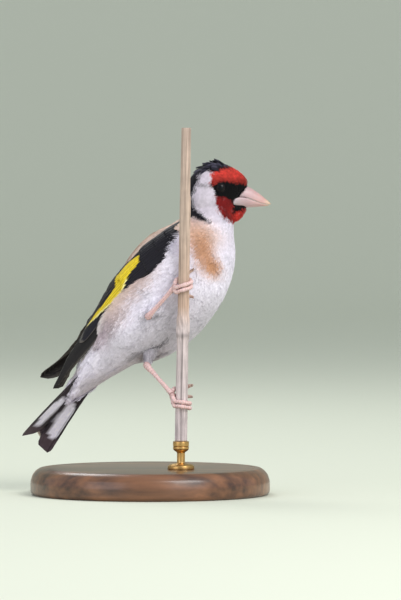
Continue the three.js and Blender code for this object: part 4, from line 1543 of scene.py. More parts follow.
def wing_shades(tier, share, edge, along, across):
    """The marks of one feather of a tier, at its places on the wing's sheet."""
    base = PRIMARY_BLACK if tier == "primaries" else WING_BLACK
    colour = np.tile(base, share.shape + (1,))
    colour = cover(colour, TIP_PALE, fade(np.abs(edge), *RIM[:2]) * RIM[2])
    if tier in MARKED_TIERS:
        slip = chance.normal(0, MARK_SLIP)
        ragged = (along + slip + chance.normal(0, MARK_RAGGED, share.shape)).ravel()
        on = inside(ragged, across.ravel(), YELLOW_MARK).reshape(share.shape)
        colour[on] = YELLOW
        low_edge = np.interp(-along, *YELLOW_FOOT)
        paler = on & (across - low_edge < PALE_STRIP[0]) & (along < PALE_STRIP[1])
        colour[paler] = YELLOW_PALE
    if tier in ("tertials", "secondaries"):
        colour = cover(colour, TIP_PALE, fade(share, *PALE_TIP[:2]) * PALE_TIP[2])
    return colour


print("yellow of the wing bar", YELLOW.round(3))

# %% The tiers of the wing
# Name, count, width, root and tip of the first feather, then of the last one: along, across.
# Then heights at root and tip of both, how feathers crowd, the share of the length where a tip
# starts to close, and how square it is.
TIERS = [
    ("primaries", 10, 5.4, (2, -0.2, -53.4, 0.3), (2, 0.5, -33.0, 0.75),
     (0.4, 0.2), (0.7, 1.1), 1.5, 0.7, 2.4),
    ("secondaries", 7, 4.6, (4, 0.0, -33.0, 0.4), (6, 0.7, -27.0, 0.85),
     (0.5, 1.1), (0.8, 1.5), 1, 0.85, 2.4),
    ("tertials", 3, 5.2, (8, 0.62, -24.0, 0.78), (9, 0.7, -12.0, 0.84),
     (0.8, 1.6), (1.0, 2.0), 1, 0.75, 2.2),
    ("primary coverts", 7, 2.9, (13, -0.32, -8.0, -0.14), (13, 0.3, -5.5, 0.3),
     (0.5, 1.1), (0.8, 1.5), 1, 0.7, 2.0),
    ("greater coverts", 10, 3.0, (15, -0.22, -2.0, -0.16), (15, 0.68, -7.0, 0.84),
     (0.7, 1.4), (1.1, 1.8), 1, 0.8, 2.4),
    ("median coverts", 10, 3.2, (22, -0.22, 4.0, -0.28), (22, 0.66, 8.0, 0.7),
     (0.8, 1.6), (1.1, 2.0), 1, 0.7, 2.2),
    ("lesser coverts", 9, 3.0, (26.6, -0.1, 12.0, -0.24), (26.6, 0.65, 14.0, 0.68),
     (0.6, 1.7), (0.8, 2.0), 1, 0.6, 2.0),
    ("marginal coverts", 7, 2.8, (27.6, 0.0, 18.5, -0.1), (27.6, 0.66, 19.5, 0.67),
     (0.5, 1.8), (0.7, 2.0), 1, 0.6, 2.0),
]
# How much a feather's tip and length differ from its neighbours', and how its edge tilts up.
FEATHER_VARIES = 0.012
EDGE_TILT = 0.05


def wing_blades(side):
    blades = []
    for name, count, width, first, last, low, high, crowd, tip_start, pointed in TIERS:
        for k in range(count):
            share = (k / (count - 1)) ** crowd
            spot = np.array(first) + (np.array(last) - np.array(first)) * share
            heights = np.array(low) + (np.array(high) - np.array(low)) * share
            sway = chance.normal(0, FEATHER_VARIES)
            longer = 1 + chance.normal(0, FEATHER_VARIES)

            def on_sheet(t, off):
                along = spot[0] + (spot[2] - spot[0]) * t * longer
                middle = spot[1] + (spot[3] + sway - spot[1]) * t
                chord = wing_edges(along.ravel())[4]
                return along, middle + off / chord.reshape(along.shape)

            def place(t, off, rise):
                along, across = on_sheet(t, off)
                lift = heights[0] + (heights[1] - heights[0]) * t + rise + off * EDGE_TILT
                return wing_point(side, along, across, lift)

            def shades(t, edge, off):
                return wing_shades(name, t, edge, *on_sheet(t, off))

            blades.append(blade(place, width, shades, tip_start, pointed))
    return blades


for label, side in (("right", 1), ("left", -1)):
    join_blades("wing_feathers_" + label, wing_blades(side), "wing_" + label)

# %% [markdown]
# At the shoulder a few long, loose white feathers stray over the black coverts. They root on
# the body and run on to the wing, so their lines are given on the wing's sheet.


# %% Loose feathers over the shoulder
# Where they root along the body and across the sheet, their length, how far they stray across it,
# where that grows from nothing, and how late along a feather it comes. Then their height at the
# root, their rise and its steepness, how uneven it is, and the width of each.
WISPS = {"along": (20, 28), "across": (-0.4, 0.0), "length": (3.5, 6.0), "stray": (0.0, 0.3),
         "grows": (19, 27), "late": 1.3, "lift": (0.9, 1.1, 0.7), "uneven": 0.15, "width": 1.3}


def shoulder_wisps(side, name, count=240):
    along = chance.uniform(*WISPS["along"], count)
    across = chance.uniform(*WISPS["across"], count)
    lengths = chance.uniform(*WISPS["length"], count)
    stray = chance.uniform(*WISPS["stray"], count) * fade(along, *WISPS["grows"])
    share = STATIONS[None, :]
    run = along[:, None] - lengths[:, None] * share
    spread = across[:, None] + stray[:, None] * share ** WISPS["late"]
    low, more, steep = WISPS["lift"]
    lift = low + more * share**steep + chance.normal(0, WISPS["uneven"], count)[:, None]
    lines = wing_point(side, run, spread, lift)
    rises = unit(wing_point(side, run, spread, lift + 1) - lines)
    colours = np.tile(WHITE, (count, 1))
    return feather_piece(name, lines, rises, np.full(count, WISPS["width"]), colours,
                         "pale_plumage", depth=0.3, barbs=7, fan=0.25, vane=False, root_shade=0.8)


for label, side in (("right", 1), ("left", -1)):
    shoulder_wisps(side, "coat_shoulder_" + label)

# %% [markdown]
# The tail has twelve feathers in a shallow fork. From below, the long outer pair lies lowest
# and shows its big white windows between dark edges and tips.

# %% The tail
TAIL = {"root": -31.0, "tip": -73.2, "notch": -69.6, "offset": -1.8, "drift": -0.9,
        "root_spread": 0.55, "tip_spread": 1.95}
TAIL_PAIRS = 6
# Width and the share of the outer web, from the middle pair to the outermost one.
TAIL_WEBS = [(6.5, 0.45), (6.5, 0.42), (7.0, 0.36), (7.5, 0.3), (8.4, 0.22), (10.2, 0.13)]
TAIL_STEP = 0.28
TAIL_ROLL = 32
# How the fork deepens outwards, how the fan is dished, how flat its feathers are, how far their
# tips differ, how far a right layer is from its left one, and how a tip closes. A tip slants
# across the vane, more on the right half than on the left.
TAIL_FORK = 1.3
TAIL_DISH = 0.012
TAIL_CAMBER = 0.5
TIP_VARIES = 0.15
LAYER_SHIFT = 0.25
TAIL_TIP_SHAPE = (0.84, 3.0)
TIP_SLANT = {"right": 0.3, "left": -0.12, "power": 6}
TAIL_BLACK = tint(46, 40, 46)
TAIL_TIP = tint(80, 69, 76)
WINDOW_WHITE = tint(242, 241, 255)
# The window of an outer feather: its middle along the feather and half its length, then on each
# half of the tail its middle across the vane and half its width, how square and how sharp it is.
WINDOW = {"along": (0.69, 0.185), "right": (0.42, 0.36), "left": (0.29, 0.52), "square": 2.6,
          "sharp": 9}
FIRST_WINDOW = 3
# Where the browner tip begins and is in full, and where the pale end of a middle feather is.
BROWN_TIP = (0.84, 0.89)
PALE_END = (0.95, 0.97)


def tail_point(along, right, back):
    """Points of the tail's fan, which drifts a little to the back towards its tip."""
    along, right, back = np.broadcast_arrays(along, right, back)
    shape = along.shape
    reach = (along - TAIL["root"]).reshape(-1, 1) / (TAIL["tip"] - TAIL["root"])
    _, belly, out = axes(BODY_PITCH, TAIL_ROLL)
    _, plain_belly, _ = axes(BODY_PITCH, 0)
    a = axes(BODY_PITCH, 0)[0]
    points = BODY_CENTRE + a * along.reshape(-1, 1)
    points = points + plain_belly * (TAIL["offset"] + TAIL["drift"] * reach)
    points = points + out * right.reshape(-1, 1) - belly * back.reshape(-1, 1)
    return points.reshape(shape + (3,))


def tail_shades(pair, half, side):
    """White windows on the inner webs of the outer pairs, pale tips on the middle ones."""
    def shades(share, edge, off):
        inward = -edge * side
        colour = np.tile(TAIL_BLACK, share.shape + (1,))
        colour = cover(colour, TAIL_TIP, fade(share, *BROWN_TIP))
        if pair < FIRST_WINDOW:
            return cover(colour, TIP_PALE, fade(share, *PALE_END))
        length = np.abs((share - WINDOW["along"][0]) / WINDOW["along"][1])
        across = np.abs((inward - WINDOW[half][0]) / WINDOW[half][1])
        depth = 1 - length ** WINDOW["square"] - across ** WINDOW["square"]
        return cover(colour, WINDOW_WHITE, np.clip(depth * WINDOW["sharp"], 0, 1))

    return shades


def tail_blades():
    blades = []
    for half, side in (("left", -1), ("right", 1)):
        for pair in range(TAIL_PAIRS):
            out = pair / (TAIL_PAIRS - 1)
            tip = TAIL["notch"] + (TAIL["tip"] - TAIL["notch"]) * out**TAIL_FORK
            tip += chance.normal(0, TIP_VARIES)
            back = ((TAIL_PAIRS - 1) / 2 - pair + side * LAYER_SHIFT) * TAIL_STEP

            def place(t, off, rise):
                spread = TAIL["root_spread"] + (TAIL["tip_spread"] - TAIL["root_spread"]) * t
                right = side * (pair + 0.5) * spread + off
                dish = TAIL_DISH * right**2 * t
                slant = TIP_SLANT[half] * side * off * t ** TIP_SLANT["power"]
                along = TAIL["root"] + (tip - TAIL["root"]) * t - slant
                return tail_point(along, right, back + rise * TAIL_CAMBER - dish)

            width, outer_web = TAIL_WEBS[pair]
            outer = outer_web if side < 0 else 1 - outer_web
            shades = tail_shades(pair, half, side)
            blades.append(blade(place, width, shades, *TAIL_TIP_SHAPE, outer))
    return blades


join_blades("tail_feathers", tail_blades(), "tail")

# %% [markdown]
# The eye is a dark, wet bead. A glossy clear coat over a dark brown iris gives the small
# highlight that makes it look alive, and a ring of bare black skin sets it into the head.


# %% Eyes and their rims
PUPIL_BLACK = tint(4, 5, 9)
IRIS_BROWN = tint(22, 17, 18)
RIM_BLACK = tint(13, 12, 15)
# How far from the middle of the eye the pupil ends and the iris is in full.
PUPIL = (1.0, 1.15)


def ball(name, middle, radius, flat=1.0):
    points = []
    rows, around = 40, 56
    for r in range(rows + 1):
        lean = math.pi * r / rows
        for k in range(around):
            turn = 2 * math.pi * k / around
            x = math.sin(lean) * math.cos(turn)
            z = math.sin(lean) * math.sin(turn)
            y = math.cos(lean)
            points.append(middle + radius * np.array([x, y, z * flat]))
    return new_piece(name, points, ring_faces(rows + 1, around))


def eye_colours(piece, middle):
    points = np.array([v.co for v in piece.data.vertices]) / MM - middle
    off = np.hypot(points[:, 0], points[:, 2])
    return mix(PUPIL_BLACK, IRIS_BROWN, fade(off, *PUPIL))


def eye_rim(name, side, sides=12, around=72):
    """A ring of bare skin round the eye, that leans with the side of the head."""
    points = []
    for k in range(around):
        turn = 2 * math.pi * k / around
        for s in range(sides):
            lean = 2 * math.pi * s / sides
            out = 1 + EYE_RIM["thick"] * math.cos(lean)
            x = EYE_RIM["wide"] * out * math.cos(turn)
            z = EYE_RIM["high"] * out * math.sin(turn) + EYE_RIM["tilt"] * math.cos(turn)
            y = EYE_RIM["out"] + EYE_RIM["deep"] * math.sin(lean) - EYE_RIM["turn"] * math.cos(turn)
            points.append((EYE["x"] + x, BODY_CENTRE[1] + side * y, EYE["z"] + z))
    faces = ring_faces(around, sides, caps=False)
    last = (around - 1) * sides
    faces += [(last + s, last + (s + 1) % sides, (s + 1) % sides, s) for s in range(sides)]
    return new_piece(name, points, faces)


for label, side in (("right", -1), ("left", 1)):
    middle = np.array([EYE["x"], BODY_CENTRE[1] + side * EYE["side"], EYE["z"]])
    eye = ball("eyeball_" + label, middle, EYE["radius"])
    paint(eye.data, eye_colours(eye, middle))
    settle(eye, EYE_GLOSS, "eye", "eye_" + label)
    rim = eye_rim("eye_rim_" + label, side)
    paint(rim.data, RIM_BLACK)
    settle(rim, EYE_SKIN, "head_plumage")

# %% [markdown]
# The bill is a pale pink cone in two halves. The mouth line is the gap between two closed
# shells, so it has a true edge and its own shadow. Each nostril is a small ball near the base,
# painted dark as the shadow of the nostril's pit, and half hidden by bristles.

# %% The bill
# Along X, top of the upper bill, mouth line, underside, half width.
BILL = [
    (31.3, 118.2, 110.6, 108.2, 3.9),
    (32.2, 117.9, 111.2, 107.9, 3.9),
    (33.6, 117.2, 111.6, 107.7, 3.8),
    (35.2, 116.5, 111.5, 107.6, 3.65),
    (36.5, 115.8, 111.2, 107.6, 3.4),
    (39.0, 114.3, 110.3, 107.8, 2.7),
    (41.5, 112.5, 109.4, 108.0, 1.9),
    (43.5, 110.9, 108.9, 108.2, 1.15),
    (44.8, 109.8, 108.8, 108.5, 0.6),
]
# The lower half spreads to the corners of the mouth: how much, and where that begins and ends.
GAPE = (1.05, 35.6, 31.3)
# How round the arch of each half is, and how much squarer the lower half is at its base.
ARCH_POWER = 0.85
SQUARER = 0.4
UPPER_TIP = (45.6, 108.9)
LOWER_TIP = (45.1, 108.6)
MOUTH_GAP = 0.09


def bill_half(arch, tip, sides=26, places=56):
    rows = smooth_rows(BILL, np.linspace(0, len(BILL) - 1, places))
    points = []
    for x, top, mouth, bottom, width in rows:
        seam = mouth + arch * MOUTH_GAP
        height = max(abs((top if arch > 0 else bottom) - seam), 0.02)
        power = ARCH_POWER
        if arch < 0:
            share = min(max((GAPE[1] - x) / (GAPE[1] - GAPE[2]), 0), 1)
            width += GAPE[0] * share
            power -= SQUARER * share
        for k in range(sides + 1):
            turn = math.pi * k / sides
            z = seam + arch * max(math.sin(turn), 0) ** power * height
            points.append((x, BODY_CENTRE[1] + math.cos(turn) * width, z))
        points.append((x, BODY_CENTRE[1], seam))
    count = sides + 2
    faces = ring_faces(places, count)
    faces.pop()
    points.append((tip[0], BODY_CENTRE[1], tip[1]))
    last = (places - 1) * count
    faces += [(last + k, last + (k + 1) % count, len(points) - 1) for k in range(count)]
    return points, faces


upper = new_piece("bill_upper_horn", *bill_half(1, UPPER_TIP))
settle(upper, BILL_HORN, "bill_horn", "bill_upper")
lower = new_piece("bill_lower_horn", *bill_half(-1, LOWER_TIP))
settle(lower, BILL_HORN, "bill_horn", "bill_lower")

# %% Nostrils and their bristles
NOSTRIL = {"x": 35.6, "side": 2.9, "z": 114.2, "radius": 0.34, "flat": 0.6}
# Painted shadow: the nostril is a small ball, painted dark for the hollow of its pit.
NOSTRIL_SHADOW = tint(70, 44, 44)
# The bristles: between which heights they root, how far behind the bill's edge, how high over the
# horn, which way they point, how far they lean out, and how long and wide they are.
BRISTLES = {"heights": (111.5, 116.3), "behind": (-1.3, -0.5), "over": 0.08, "way": (1.0, 0, -0.35),
            "lean": 0.1, "length": (0.5, 1.1), "width": 0.4}
for label, side in (("right", -1), ("left", 1)):
    middle = np.array([NOSTRIL["x"], BODY_CENTRE[1] + side * NOSTRIL["side"], NOSTRIL["z"]])
    pit = ball("nostril_" + label, middle, NOSTRIL["radius"], NOSTRIL["flat"])
    paint(pit.data, NOSTRIL_SHADOW)
    settle(pit, CLAW_HORN, "bill_horn")


def bristles(count=520):
    """Short stiff feathers that point forward from the edge of the mask over the bill."""
    z = chance.uniform(*BRISTLES["heights"], count)
    edge = sorted(BILL_BASE[:6], key=lambda spot: spot[1])
    x = np.interp(z, [spot[1] for spot in edge], [spot[0] for spot in edge])
    x = x + chance.uniform(*BRISTLES["behind"], count)
    rows = section_at(BILL, x)
    up = np.clip((z - rows[:, 2]) / (rows[:, 1] - rows[:, 2]), 0, 1) ** (1 / ARCH_POWER)
    y = rows[:, 4] * np.sqrt(1 - up**2) * np.where(chance.random(count) < 0.5, -1, 1)
    starts = np.stack([x, BODY_CENTRE[1] + y, z], axis=1)
    out = unit(np.stack([0 * x, y / rows[:, 4], up], axis=1))
    starts = starts + out * BRISTLES["over"]
    share = STATIONS[None, :, None]
    way = unit(np.array(BRISTLES["way"]) + out * BRISTLES["lean"])
    lengths = chance.uniform(*BRISTLES["length"], count)[:, None, None]
    lines = starts[:, None, :] + way[:, None, :] * share * lengths
    rises = np.repeat(out[:, None, :], len(STATIONS), axis=1)
    colours = np.tile(MASK_BLACK, (count, 1))
    return feather_piece("coat_nasal_bristles", lines, rises, np.full(count, BRISTLES["width"]),
                         colours, "head_plumage", depth=0.15, barbs=4, fan=0.3, vane=False)


bristles()

# %% [markdown]
# The legs are bare: a thin shank with a row of broad scales in front and a dark seam down each
# side, and toes that wrap right round the reed. Rings of scales are worked into the sections
# of each tube, so the knuckles and scale edges catch the light.

# %% The perch and the toes
PERCH = {"y": -10.0, "foot_x": 11.6, "foot_z": 20.6, "top_x": 13.6, "top_z": 137.6}
REED = [
    (20.6, 2.3), (40.0, 2.25), (57.0, 2.15), (60.5, 2.4), (66.0, 2.35), (68.0, 2.05),
    (100.0, 1.95), (137.6, 1.75),
]
# The space between a toe and the reed, half a toe's thickness, and how far a toe's base stands off.
TOE_GAP = 0.12
TOE = 0.72
TOE_RISE = 0.25
# Each toe: how far it turns round the reed, and its height at both ends, from the knuckle's.
TOES = {
    "right": {"inner": (190, -1.9, 0.8), "middle": (205, -0.2, 2.9), "outer": (-140, 2.2, 6.0),
              "hind": (-140, -1.1, -3.0)},
    "left": {"inner": (200, -3.9, -5.6), "middle": (210, -2.3, -3.9), "outer": (-160, 1.4, 2.9),
             "hind": (-140, -0.6, -1.1)},
}
SHANK_RADII = [1.25, 1.2, 1.3, 0.86, 0.8, 1.05]
TOE_SWELL = (1.35, 1.15, 0.92, 1.15, 0.88, 1.08, 0.72)
# A claw: its length, how far its tip curls in and how far it goes past its length, how far it
# sinks into the toe and arches out, its flatness, sides and rings, and its radii.
CLAW = {"length": 3.0, "curl": 0.9, "past": 0.3, "sink": 0.1, "arch": 0.15, "half_way": 0.55,
        "flat": 1.1, "sides": 14, "rings": 24, "radii": [(0.6,), (0.46,), (0.07,)]}


def perch_x(z):
    slope = (PERCH["top_x"] - PERCH["foot_x"]) / (PERCH["top_z"] - PERCH["foot_z"])
    return PERCH["foot_x"] + (z - PERCH["foot_z"]) * slope


def reed_radius(z):
    return section_at(REED, np.atleast_1d(z))[:, 1]


def toe_path(leg, toe, steps=6):
    turn, start_z, end_z = toe
    grip = np.array(leg["grip"])
    share = np.arange(1, steps + 1) / steps
    z = grip[2] + start_z + (end_z - start_z) * share
    reach = reed_radius(z) + TOE_GAP + TOE + TOE_RISE * (1 - share)
    angle = np.radians(turn * share)
    points = np.stack([perch_x(z) - np.cos(angle) * reach, PERCH["y"] - np.sin(angle) * reach, z], axis=1)
    return np.vstack([grip, points])


print("right middle toe reaches", toe_path(LEGS["right"], TOES["right"]["middle"])[-1].round(1))


# %% Scaled tubes
SHANK_PINK = tint(222, 189, 186)
GROOVE_PINK = tint(152, 112, 114)
SEAM_PINK = tint(166, 106, 108)
SEAM_WIDTH = 0.06
HEEL_BROWN = tint(132, 88, 86)
# Where a scale is as thick as the plain tube, how much of it is groove, and how strongly groove
# and heel are tinted.
SCALE_LEVEL = 0.35
GROOVE = 0.18
GROOVE_TINT = 0.75
HEEL_TINT = 0.8


def scaled_tube(path, radii, count, sides, scales, depth, heel, seam=0.0):
    """A tube with rings of scales, browner up to the heel's share, and its points' colours.

    The seam is the dark line down each side, where the scales in front meet those behind.
    """
    line = smooth_path(path, count)
    share = np.linspace(0, 1, count)
    radius = smooth_rows([(r,) for r in radii], share * (len(radii) - 1))[:, 0]
    phase = (share * scales) % 1.0
    scaly = 1 + depth * (phase**2 - SCALE_LEVEL)
    scaly[0] = 1
    scaly[-1] = 1
    points = tube_points(line, radius * scaly, sides)
    groove = np.clip(1 - phase / GROOVE, 0, 1)
    colours = mix(SHANK_PINK, GROOVE_PINK, groove * GROOVE_TINT)
    colours = mix(colours, HEEL_BROWN, fade(share, heel, 0) * HEEL_TINT)
    colours = np.repeat(colours, sides, axis=0)
    out = unit(points - np.repeat(line, sides, axis=0))
    colours = mix(colours, SEAM_PINK, seam * np.exp((np.abs(out[:, 1]) - 1) / SEAM_WIDTH))
    return points, ring_faces(count, sides), colours


# How far up the thigh the bare shank begins.
BARE_FROM = 0.3
SHANK_TUBE = {"count": 110, "sides": 20, "scales": 22, "depth": 0.16, "heel": 0.5, "seam": 0.65}
TOE_TUBE = {"count": 72, "sides": 14, "scales": 15, "depth": 0.2, "heel": 0.1}


def leg_parts(leg, toes):
    ankle = np.array(leg["ankle"])
    grip = np.array(leg["grip"])
    knee = np.array(leg["knee"])
    up = ankle + (knee - ankle) * BARE_FROM
    down = grip - ankle
    shank = [up, ankle + (up - ankle) * 0.4, ankle, ankle + down * 0.3, ankle + down * 0.7, grip]
    parts = [scaled_tube(shank, SHANK_RADII, **SHANK_TUBE)]
    for toe in toes.values():
        radii = [TOE * size for size in TOE_SWELL]
        parts.append(scaled_tube(toe_path(leg, toe), radii, **TOE_TUBE))
    return parts


for label, leg in LEGS.items():
    bare_leg, _ = join_parts("leg_" + label, leg_parts(leg, TOES[label]))
    settle(bare_leg, LEG_SKIN, "leg_skin", "tarsus_" + label, "foot_" + label)


# %% Claws
CLAW_PALE = tint(218, 190, 178)
CLAW_DARK = tint(150, 124, 112)


def claw_part(leg, toe):
    path = toe_path(leg, toe)
    sides = CLAW["sides"]
    rings = CLAW["rings"]
    end = path[-1]
    way = unit(end - path[-2])
    away = unit(end - np.array([perch_x(end[2]), PERCH["y"], end[2]]))
    start = end - way * CLAW["sink"]
    middle = start + way * CLAW["length"] * CLAW["half_way"] + away * CLAW["arch"]
    tip = start + way * (CLAW["length"] + CLAW["past"]) - away * CLAW["curl"]
    line = smooth_path([start, middle, tip], rings)
    radius = smooth_rows(CLAW["radii"], np.linspace(0, 2, rings))[:, 0]
    colours = mix(CLAW_PALE, CLAW_DARK, np.linspace(0, 1, rings))
    points = tube_points(line, radius, sides, CLAW["flat"])
    return points, ring_faces(rings, sides), np.repeat(colours, sides, axis=0)


for label, leg in LEGS.items():
    for toe_name, toe in TOES[label].items():
        claw, _ = join_parts("claw_horn_" + toe_name + "_" + label, [claw_part(leg, toe)])
        settle(claw, CLAW_HORN, "claw_horn", "claw_" + toe_name + "_" + label)

# %% [markdown]
# The perch is one length of dry reed with a joint in its lower half. The stem is ribbed along
# its length, thicker and torn round the joint, with a groove down the lower part and a strip
# of old leaf sheath along the upper part.


# %% The reed
# Ribs round the stem: how high, how many, and where they start to turn.
RIBS = ((0.01, 17, 0), (0.007, 29, 1))
# The joint: its height, how broad and how far it stands out. The torn skin above it the same,
# with how many shreds go round and how they turn with the height.
JOINT = {"height": 60.0, "broad": 1.0, "out": 0.1, "shade": 0.35}
TORN = {"height": 64, "broad": 4, "out": 0.05, "shreds": 9, "turn": 1.3}
# The groove: its direction and how that sways, its width and depth, and where it fades out.
GROOVE_LINE = {"at": 4.62, "sway": 0.03, "slow": 9, "half": 0.16, "deep": 0.28, "top": 62,
               "fades": 3, "shade": 0.45}
# No part of the stem stands out further than this.
STEM_LIMIT = 0.18
# The sheath: its ends, its edges as directions and their middle, how its top narrows, how far it
# stands off with its edge, how thick and how pale it is.
SHEATH = {"ends": (61.0, 112.0), "lean": (-0.75, 0.35), "turn": -0.12, "middle": 0.2,
          "narrows": (16, 0.15), "off": 0.16, "edge": (0.3, 0.1), "thick": 0.12, "pale": 1.25}


def stem_points(heights, turn, out):
    """Places round the stem, from rows of heights, directions and distances."""
    x = perch_x(heights)[:, None] + np.cos(turn) * out
    y = PERCH["y"] + np.sin(turn) * out
    z = np.repeat(heights[:, None], out.shape[1], axis=1)
    return np.stack([x, y, z], axis=2).reshape(-1, 3)


def reed_stem(sides=96, places=240):
    heights = np.linspace(REED[0][0], REED[-1][0], places)
    turn = np.linspace(0, 2 * np.pi, sides, endpoint=False)
    radius = reed_radius(heights)[:, None]
    ribs = sum(high * np.sin(turn * many + start)[None, :] for high, many, start in RIBS)
    joint = np.exp(-((heights - JOINT["height"]) / JOINT["broad"]) ** 2)[:, None]
    shreds = np.sin(turn * TORN["shreds"] + heights[:, None] * TORN["turn"])
    torn = TORN["out"] * shreds * np.exp(-((heights - TORN["height"]) / TORN["broad"]) ** 2)[:, None]
    line = GROOVE_LINE["at"] + GROOVE_LINE["sway"] * np.sin(heights / GROOVE_LINE["slow"])[:, None]
    ending = np.clip((GROOVE_LINE["top"] - heights) / GROOVE_LINE["fades"], 0, 1)[:, None]
    groove = np.exp(-((turn[None, :] - line) / GROOVE_LINE["half"]) ** 2) * ending
    out = radius * (1 + ribs + torn) + JOINT["out"] * joint - GROOVE_LINE["deep"] * groove
    out = np.minimum(out, radius + STEM_LIMIT)
    shade = 1 - GROOVE_LINE["shade"] * groove - JOINT["shade"] * joint
    colours = np.repeat(shade.reshape(-1, 1), 3, axis=1)
    return stem_points(heights, turn, out), ring_faces(places, sides), colours


def sheath_strip(places=90, wide=7):
    """A thin strip of leaf sheath that stands a little off the stem on its right side."""
    heights = np.linspace(*SHEATH["ends"], places)
    lean = np.linspace(*SHEATH["lean"], wide)
    long, least = SHEATH["narrows"]
    taper = np.clip((SHEATH["ends"][1] - heights) / long, least, 1)[:, None]
    turn = SHEATH["turn"] + (lean[None, :] + SHEATH["middle"]) * taper
    edge_from, edge_off = SHEATH["edge"]
    out = reed_radius(heights)[:, None] + SHEATH["off"] + edge_off * (lean[None, :] > edge_from)
    faces = ring_faces(places, wide, closed=False)
    return stem_points(heights, turn, out), faces, np.full((places * wide, 3), SHEATH["pale"])


stem, _ = join_parts("reed_stem", [reed_stem()])
settle(stem, REED_FINISH, "reed", "perch_reed")
sheath, _ = join_parts("reed_sheath", [sheath_strip()])
settle(sheath, REED_FINISH, "reed")
solid = sheath.modifiers.new("thickness", "SOLIDIFY")
solid.thickness = SHEATH["thick"] * MM
apply_modifiers(sheath)

# %% [markdown]
# The stand is plain: a turned wooden disc and a short brass rod with a collar that holds the
# cut end of the reed. Both are profiles turned about an axis, with small rounded edges.


# %% Turned pieces
def turned(name, profile, middle, segments, material, slot, node):
    points = []
    for radius, z in profile:
        for k in range(segments):
            turn = 2 * math.pi * k / segments
            points.append((middle[0] + radius * math.cos(turn), middle[1] + radius * math.sin(turn), z))
    piece = new_piece(name, points, ring_faces(len(profile), segments))
    return settle(piece, material, slot, node)


def rounded(corners, radius, steps=5):
    """A profile with its inner corners rounded."""
    out = [corners[0]]
    for before, corner, after in zip(corners, corners[1:], corners[2:]):
        corner = np.array(corner, float)
        back = np.array(before) - corner
        ahead = np.array(after) - corner
        cut = min(radius, np.linalg.norm(back) * 0.45, np.linalg.norm(ahead) * 0.45)
        start = corner + back / np.linalg.norm(back) * cut
        end = corner + ahead / np.linalg.norm(ahead) * cut
        for t in np.linspace(0, 1, steps):
            out.append(tuple((1 - t) ** 2 * start + 2 * t * (1 - t) * corner + t**2 * end))
    return out + [corners[-1]]


BASE_PROFILE = [(0.05, 0), (44, 0), (45, 1), (45, 5), (44.2, 7.5), (43, 9), (41.5, 10), (39.6, 10),
                (39.3, 9.75), (38.9, 10), (0.05, 10)]
ROD_PROFILE = [(0.02, 10.0), (5, 10.0), (5, 11.26), (4.2, 11.9), (1.5, 12.4), (1.5, 16.3), (2.6, 17.1),
               (3.0, 17.6), (3.0, 18.4), (2.75, 18.55), (3.0, 18.7), (3.0, 20.5), (0.02, 20.5)]
BASE_EDGE = 0.6
ROD_EDGE = 0.25
turned("base_wood", rounded(BASE_PROFILE, BASE_EDGE), (0, 0), 160, WOOD_FINISH, "stand_wood",
       "stand_base")
turned("rod_brass", rounded(ROD_PROFILE, ROD_EDGE), (PERCH["foot_x"], PERCH["y"]), 64, BRASS_FINISH,
       "stand_brass", "stand_rod")

# %% [markdown]
# A studio sweep, pale and curved behind, keeps the outline clear. A long lens far away gives
# the flat view of a bird photographed in the field. Soft large lights leave a gentle shade
# under the belly, and a weak one from low down keeps that shade from going dark.


# %% Floor and backdrop
# In metres: half the floor, where the curve begins and its radius, and the height of the backdrop.
SWEEP = {"half": 5.0, "curve_at": 2.2, "curve": 1.2, "high": 6.0}
PAPER_GREEN = tint(212, 216, 200)


def sweep_floor():
    begin = SWEEP["curve_at"]
    curve = SWEEP["curve"]
    run = [(-SWEEP["half"], 0.0), (begin, 0.0)]
    for t in np.linspace(0.1, math.pi / 2, 24):
        run.append((begin + curve * math.sin(t), curve - curve * math.cos(t)))
    run.append((begin + curve, SWEEP["high"]))
    mesh = bpy.data.meshes.new("studio_floor")
    points = [(x, y, z) for y, z in run for x in (-SWEEP["half"], SWEEP["half"])]
    faces = [(2 * k, 2 * k + 1, 2 * k + 3, 2 * k + 2) for k in range(len(run) - 1)]
    mesh.from_pydata(points, [], faces)
    mesh.shade_smooth()
    floor = bpy.data.objects.new("studio_floor", mesh)
    bpy.context.scene.collection.objects.link(floor)
    material, tree, shader = start_material("studio paper", 0.9)
    shader.inputs["Base Color"].default_value = (*PAPER_GREEN, 1)
    mesh.materials.append(material)
    return floor


sweep_floor()
print("floor and backdrop")


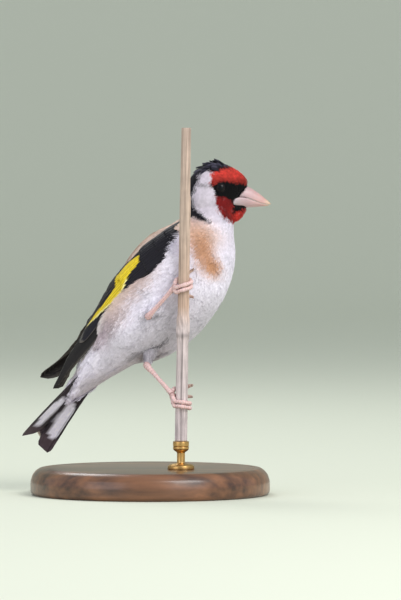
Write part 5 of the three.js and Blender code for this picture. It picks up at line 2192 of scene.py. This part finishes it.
# %% Lights
def soft_light(name, place, aim, size, power, colour=(1, 1, 1)):
    light = bpy.data.lights.new(name, "AREA")
    light.size = size
    light.energy = power
    light.color = colour
    lamp = bpy.data.objects.new(name, light)
    lamp.location = place
    lamp.rotation_euler = (Vector(aim) - Vector(place)).to_track_quat("-Z", "Y").to_euler()
    bpy.context.scene.collection.objects.link(lamp)
    return lamp


AIM = (0.01, 0.0, 0.08)
soft_light("key light", (0.5, -0.55, 0.75), AIM, 0.5, 6.2, (1.0, 0.98, 0.95))
soft_light("fill light", (-0.7, -0.7, 0.3), AIM, 0.7, 2.2, (0.93, 0.91, 1.0))
soft_light("low light", (0.45, -0.6, 0.12), AIM, 0.5, 0.9, (0.9, 0.91, 1.0))
soft_light("rim light", (-0.25, 0.6, 0.8), AIM, 0.4, 3.0)
world = bpy.data.worlds.new("studio air")
world.use_nodes = True
world.node_tree.nodes["Background"].inputs["Color"].default_value = (0.9, 0.95, 1.0, 1)
world.node_tree.nodes["Background"].inputs["Strength"].default_value = 0.7
bpy.context.scene.world = world
bpy.context.scene.view_settings.view_transform = "Standard"
print("lights are set")

# %% Camera
SENSOR = 36.0
FRAME_HEIGHT = 0.225
VIEW_MIDDLE = Vector((0.0189, -0.002, 0.0731))
DISTANCE = 2.0
ELEVATION = math.radians(1.6)
camera_data = bpy.data.cameras.new("camera")
camera_data.sensor_fit = "VERTICAL"
camera_data.sensor_height = SENSOR
camera_data.lens = SENSOR * DISTANCE / FRAME_HEIGHT
camera_data.clip_end = 20.0
camera = bpy.data.objects.new("camera", camera_data)
camera.location = VIEW_MIDDLE + DISTANCE * Vector((0, -math.cos(ELEVATION), math.sin(ELEVATION)))
camera.rotation_euler = (VIEW_MIDDLE - camera.location).to_track_quat("-Z", "Y").to_euler()
bpy.context.scene.collection.objects.link(camera)
bpy.context.scene.camera = camera
print("camera at", tuple(round(v, 3) for v in camera.location))

# %% The count of triangles
seen = [o for o in bpy.context.scene.objects if o.type == "MESH" and not o.hide_render]
total = sum(len(p.vertices) - 2 for o in seen for p in o.data.polygons)
print("about", total, "triangles in all")
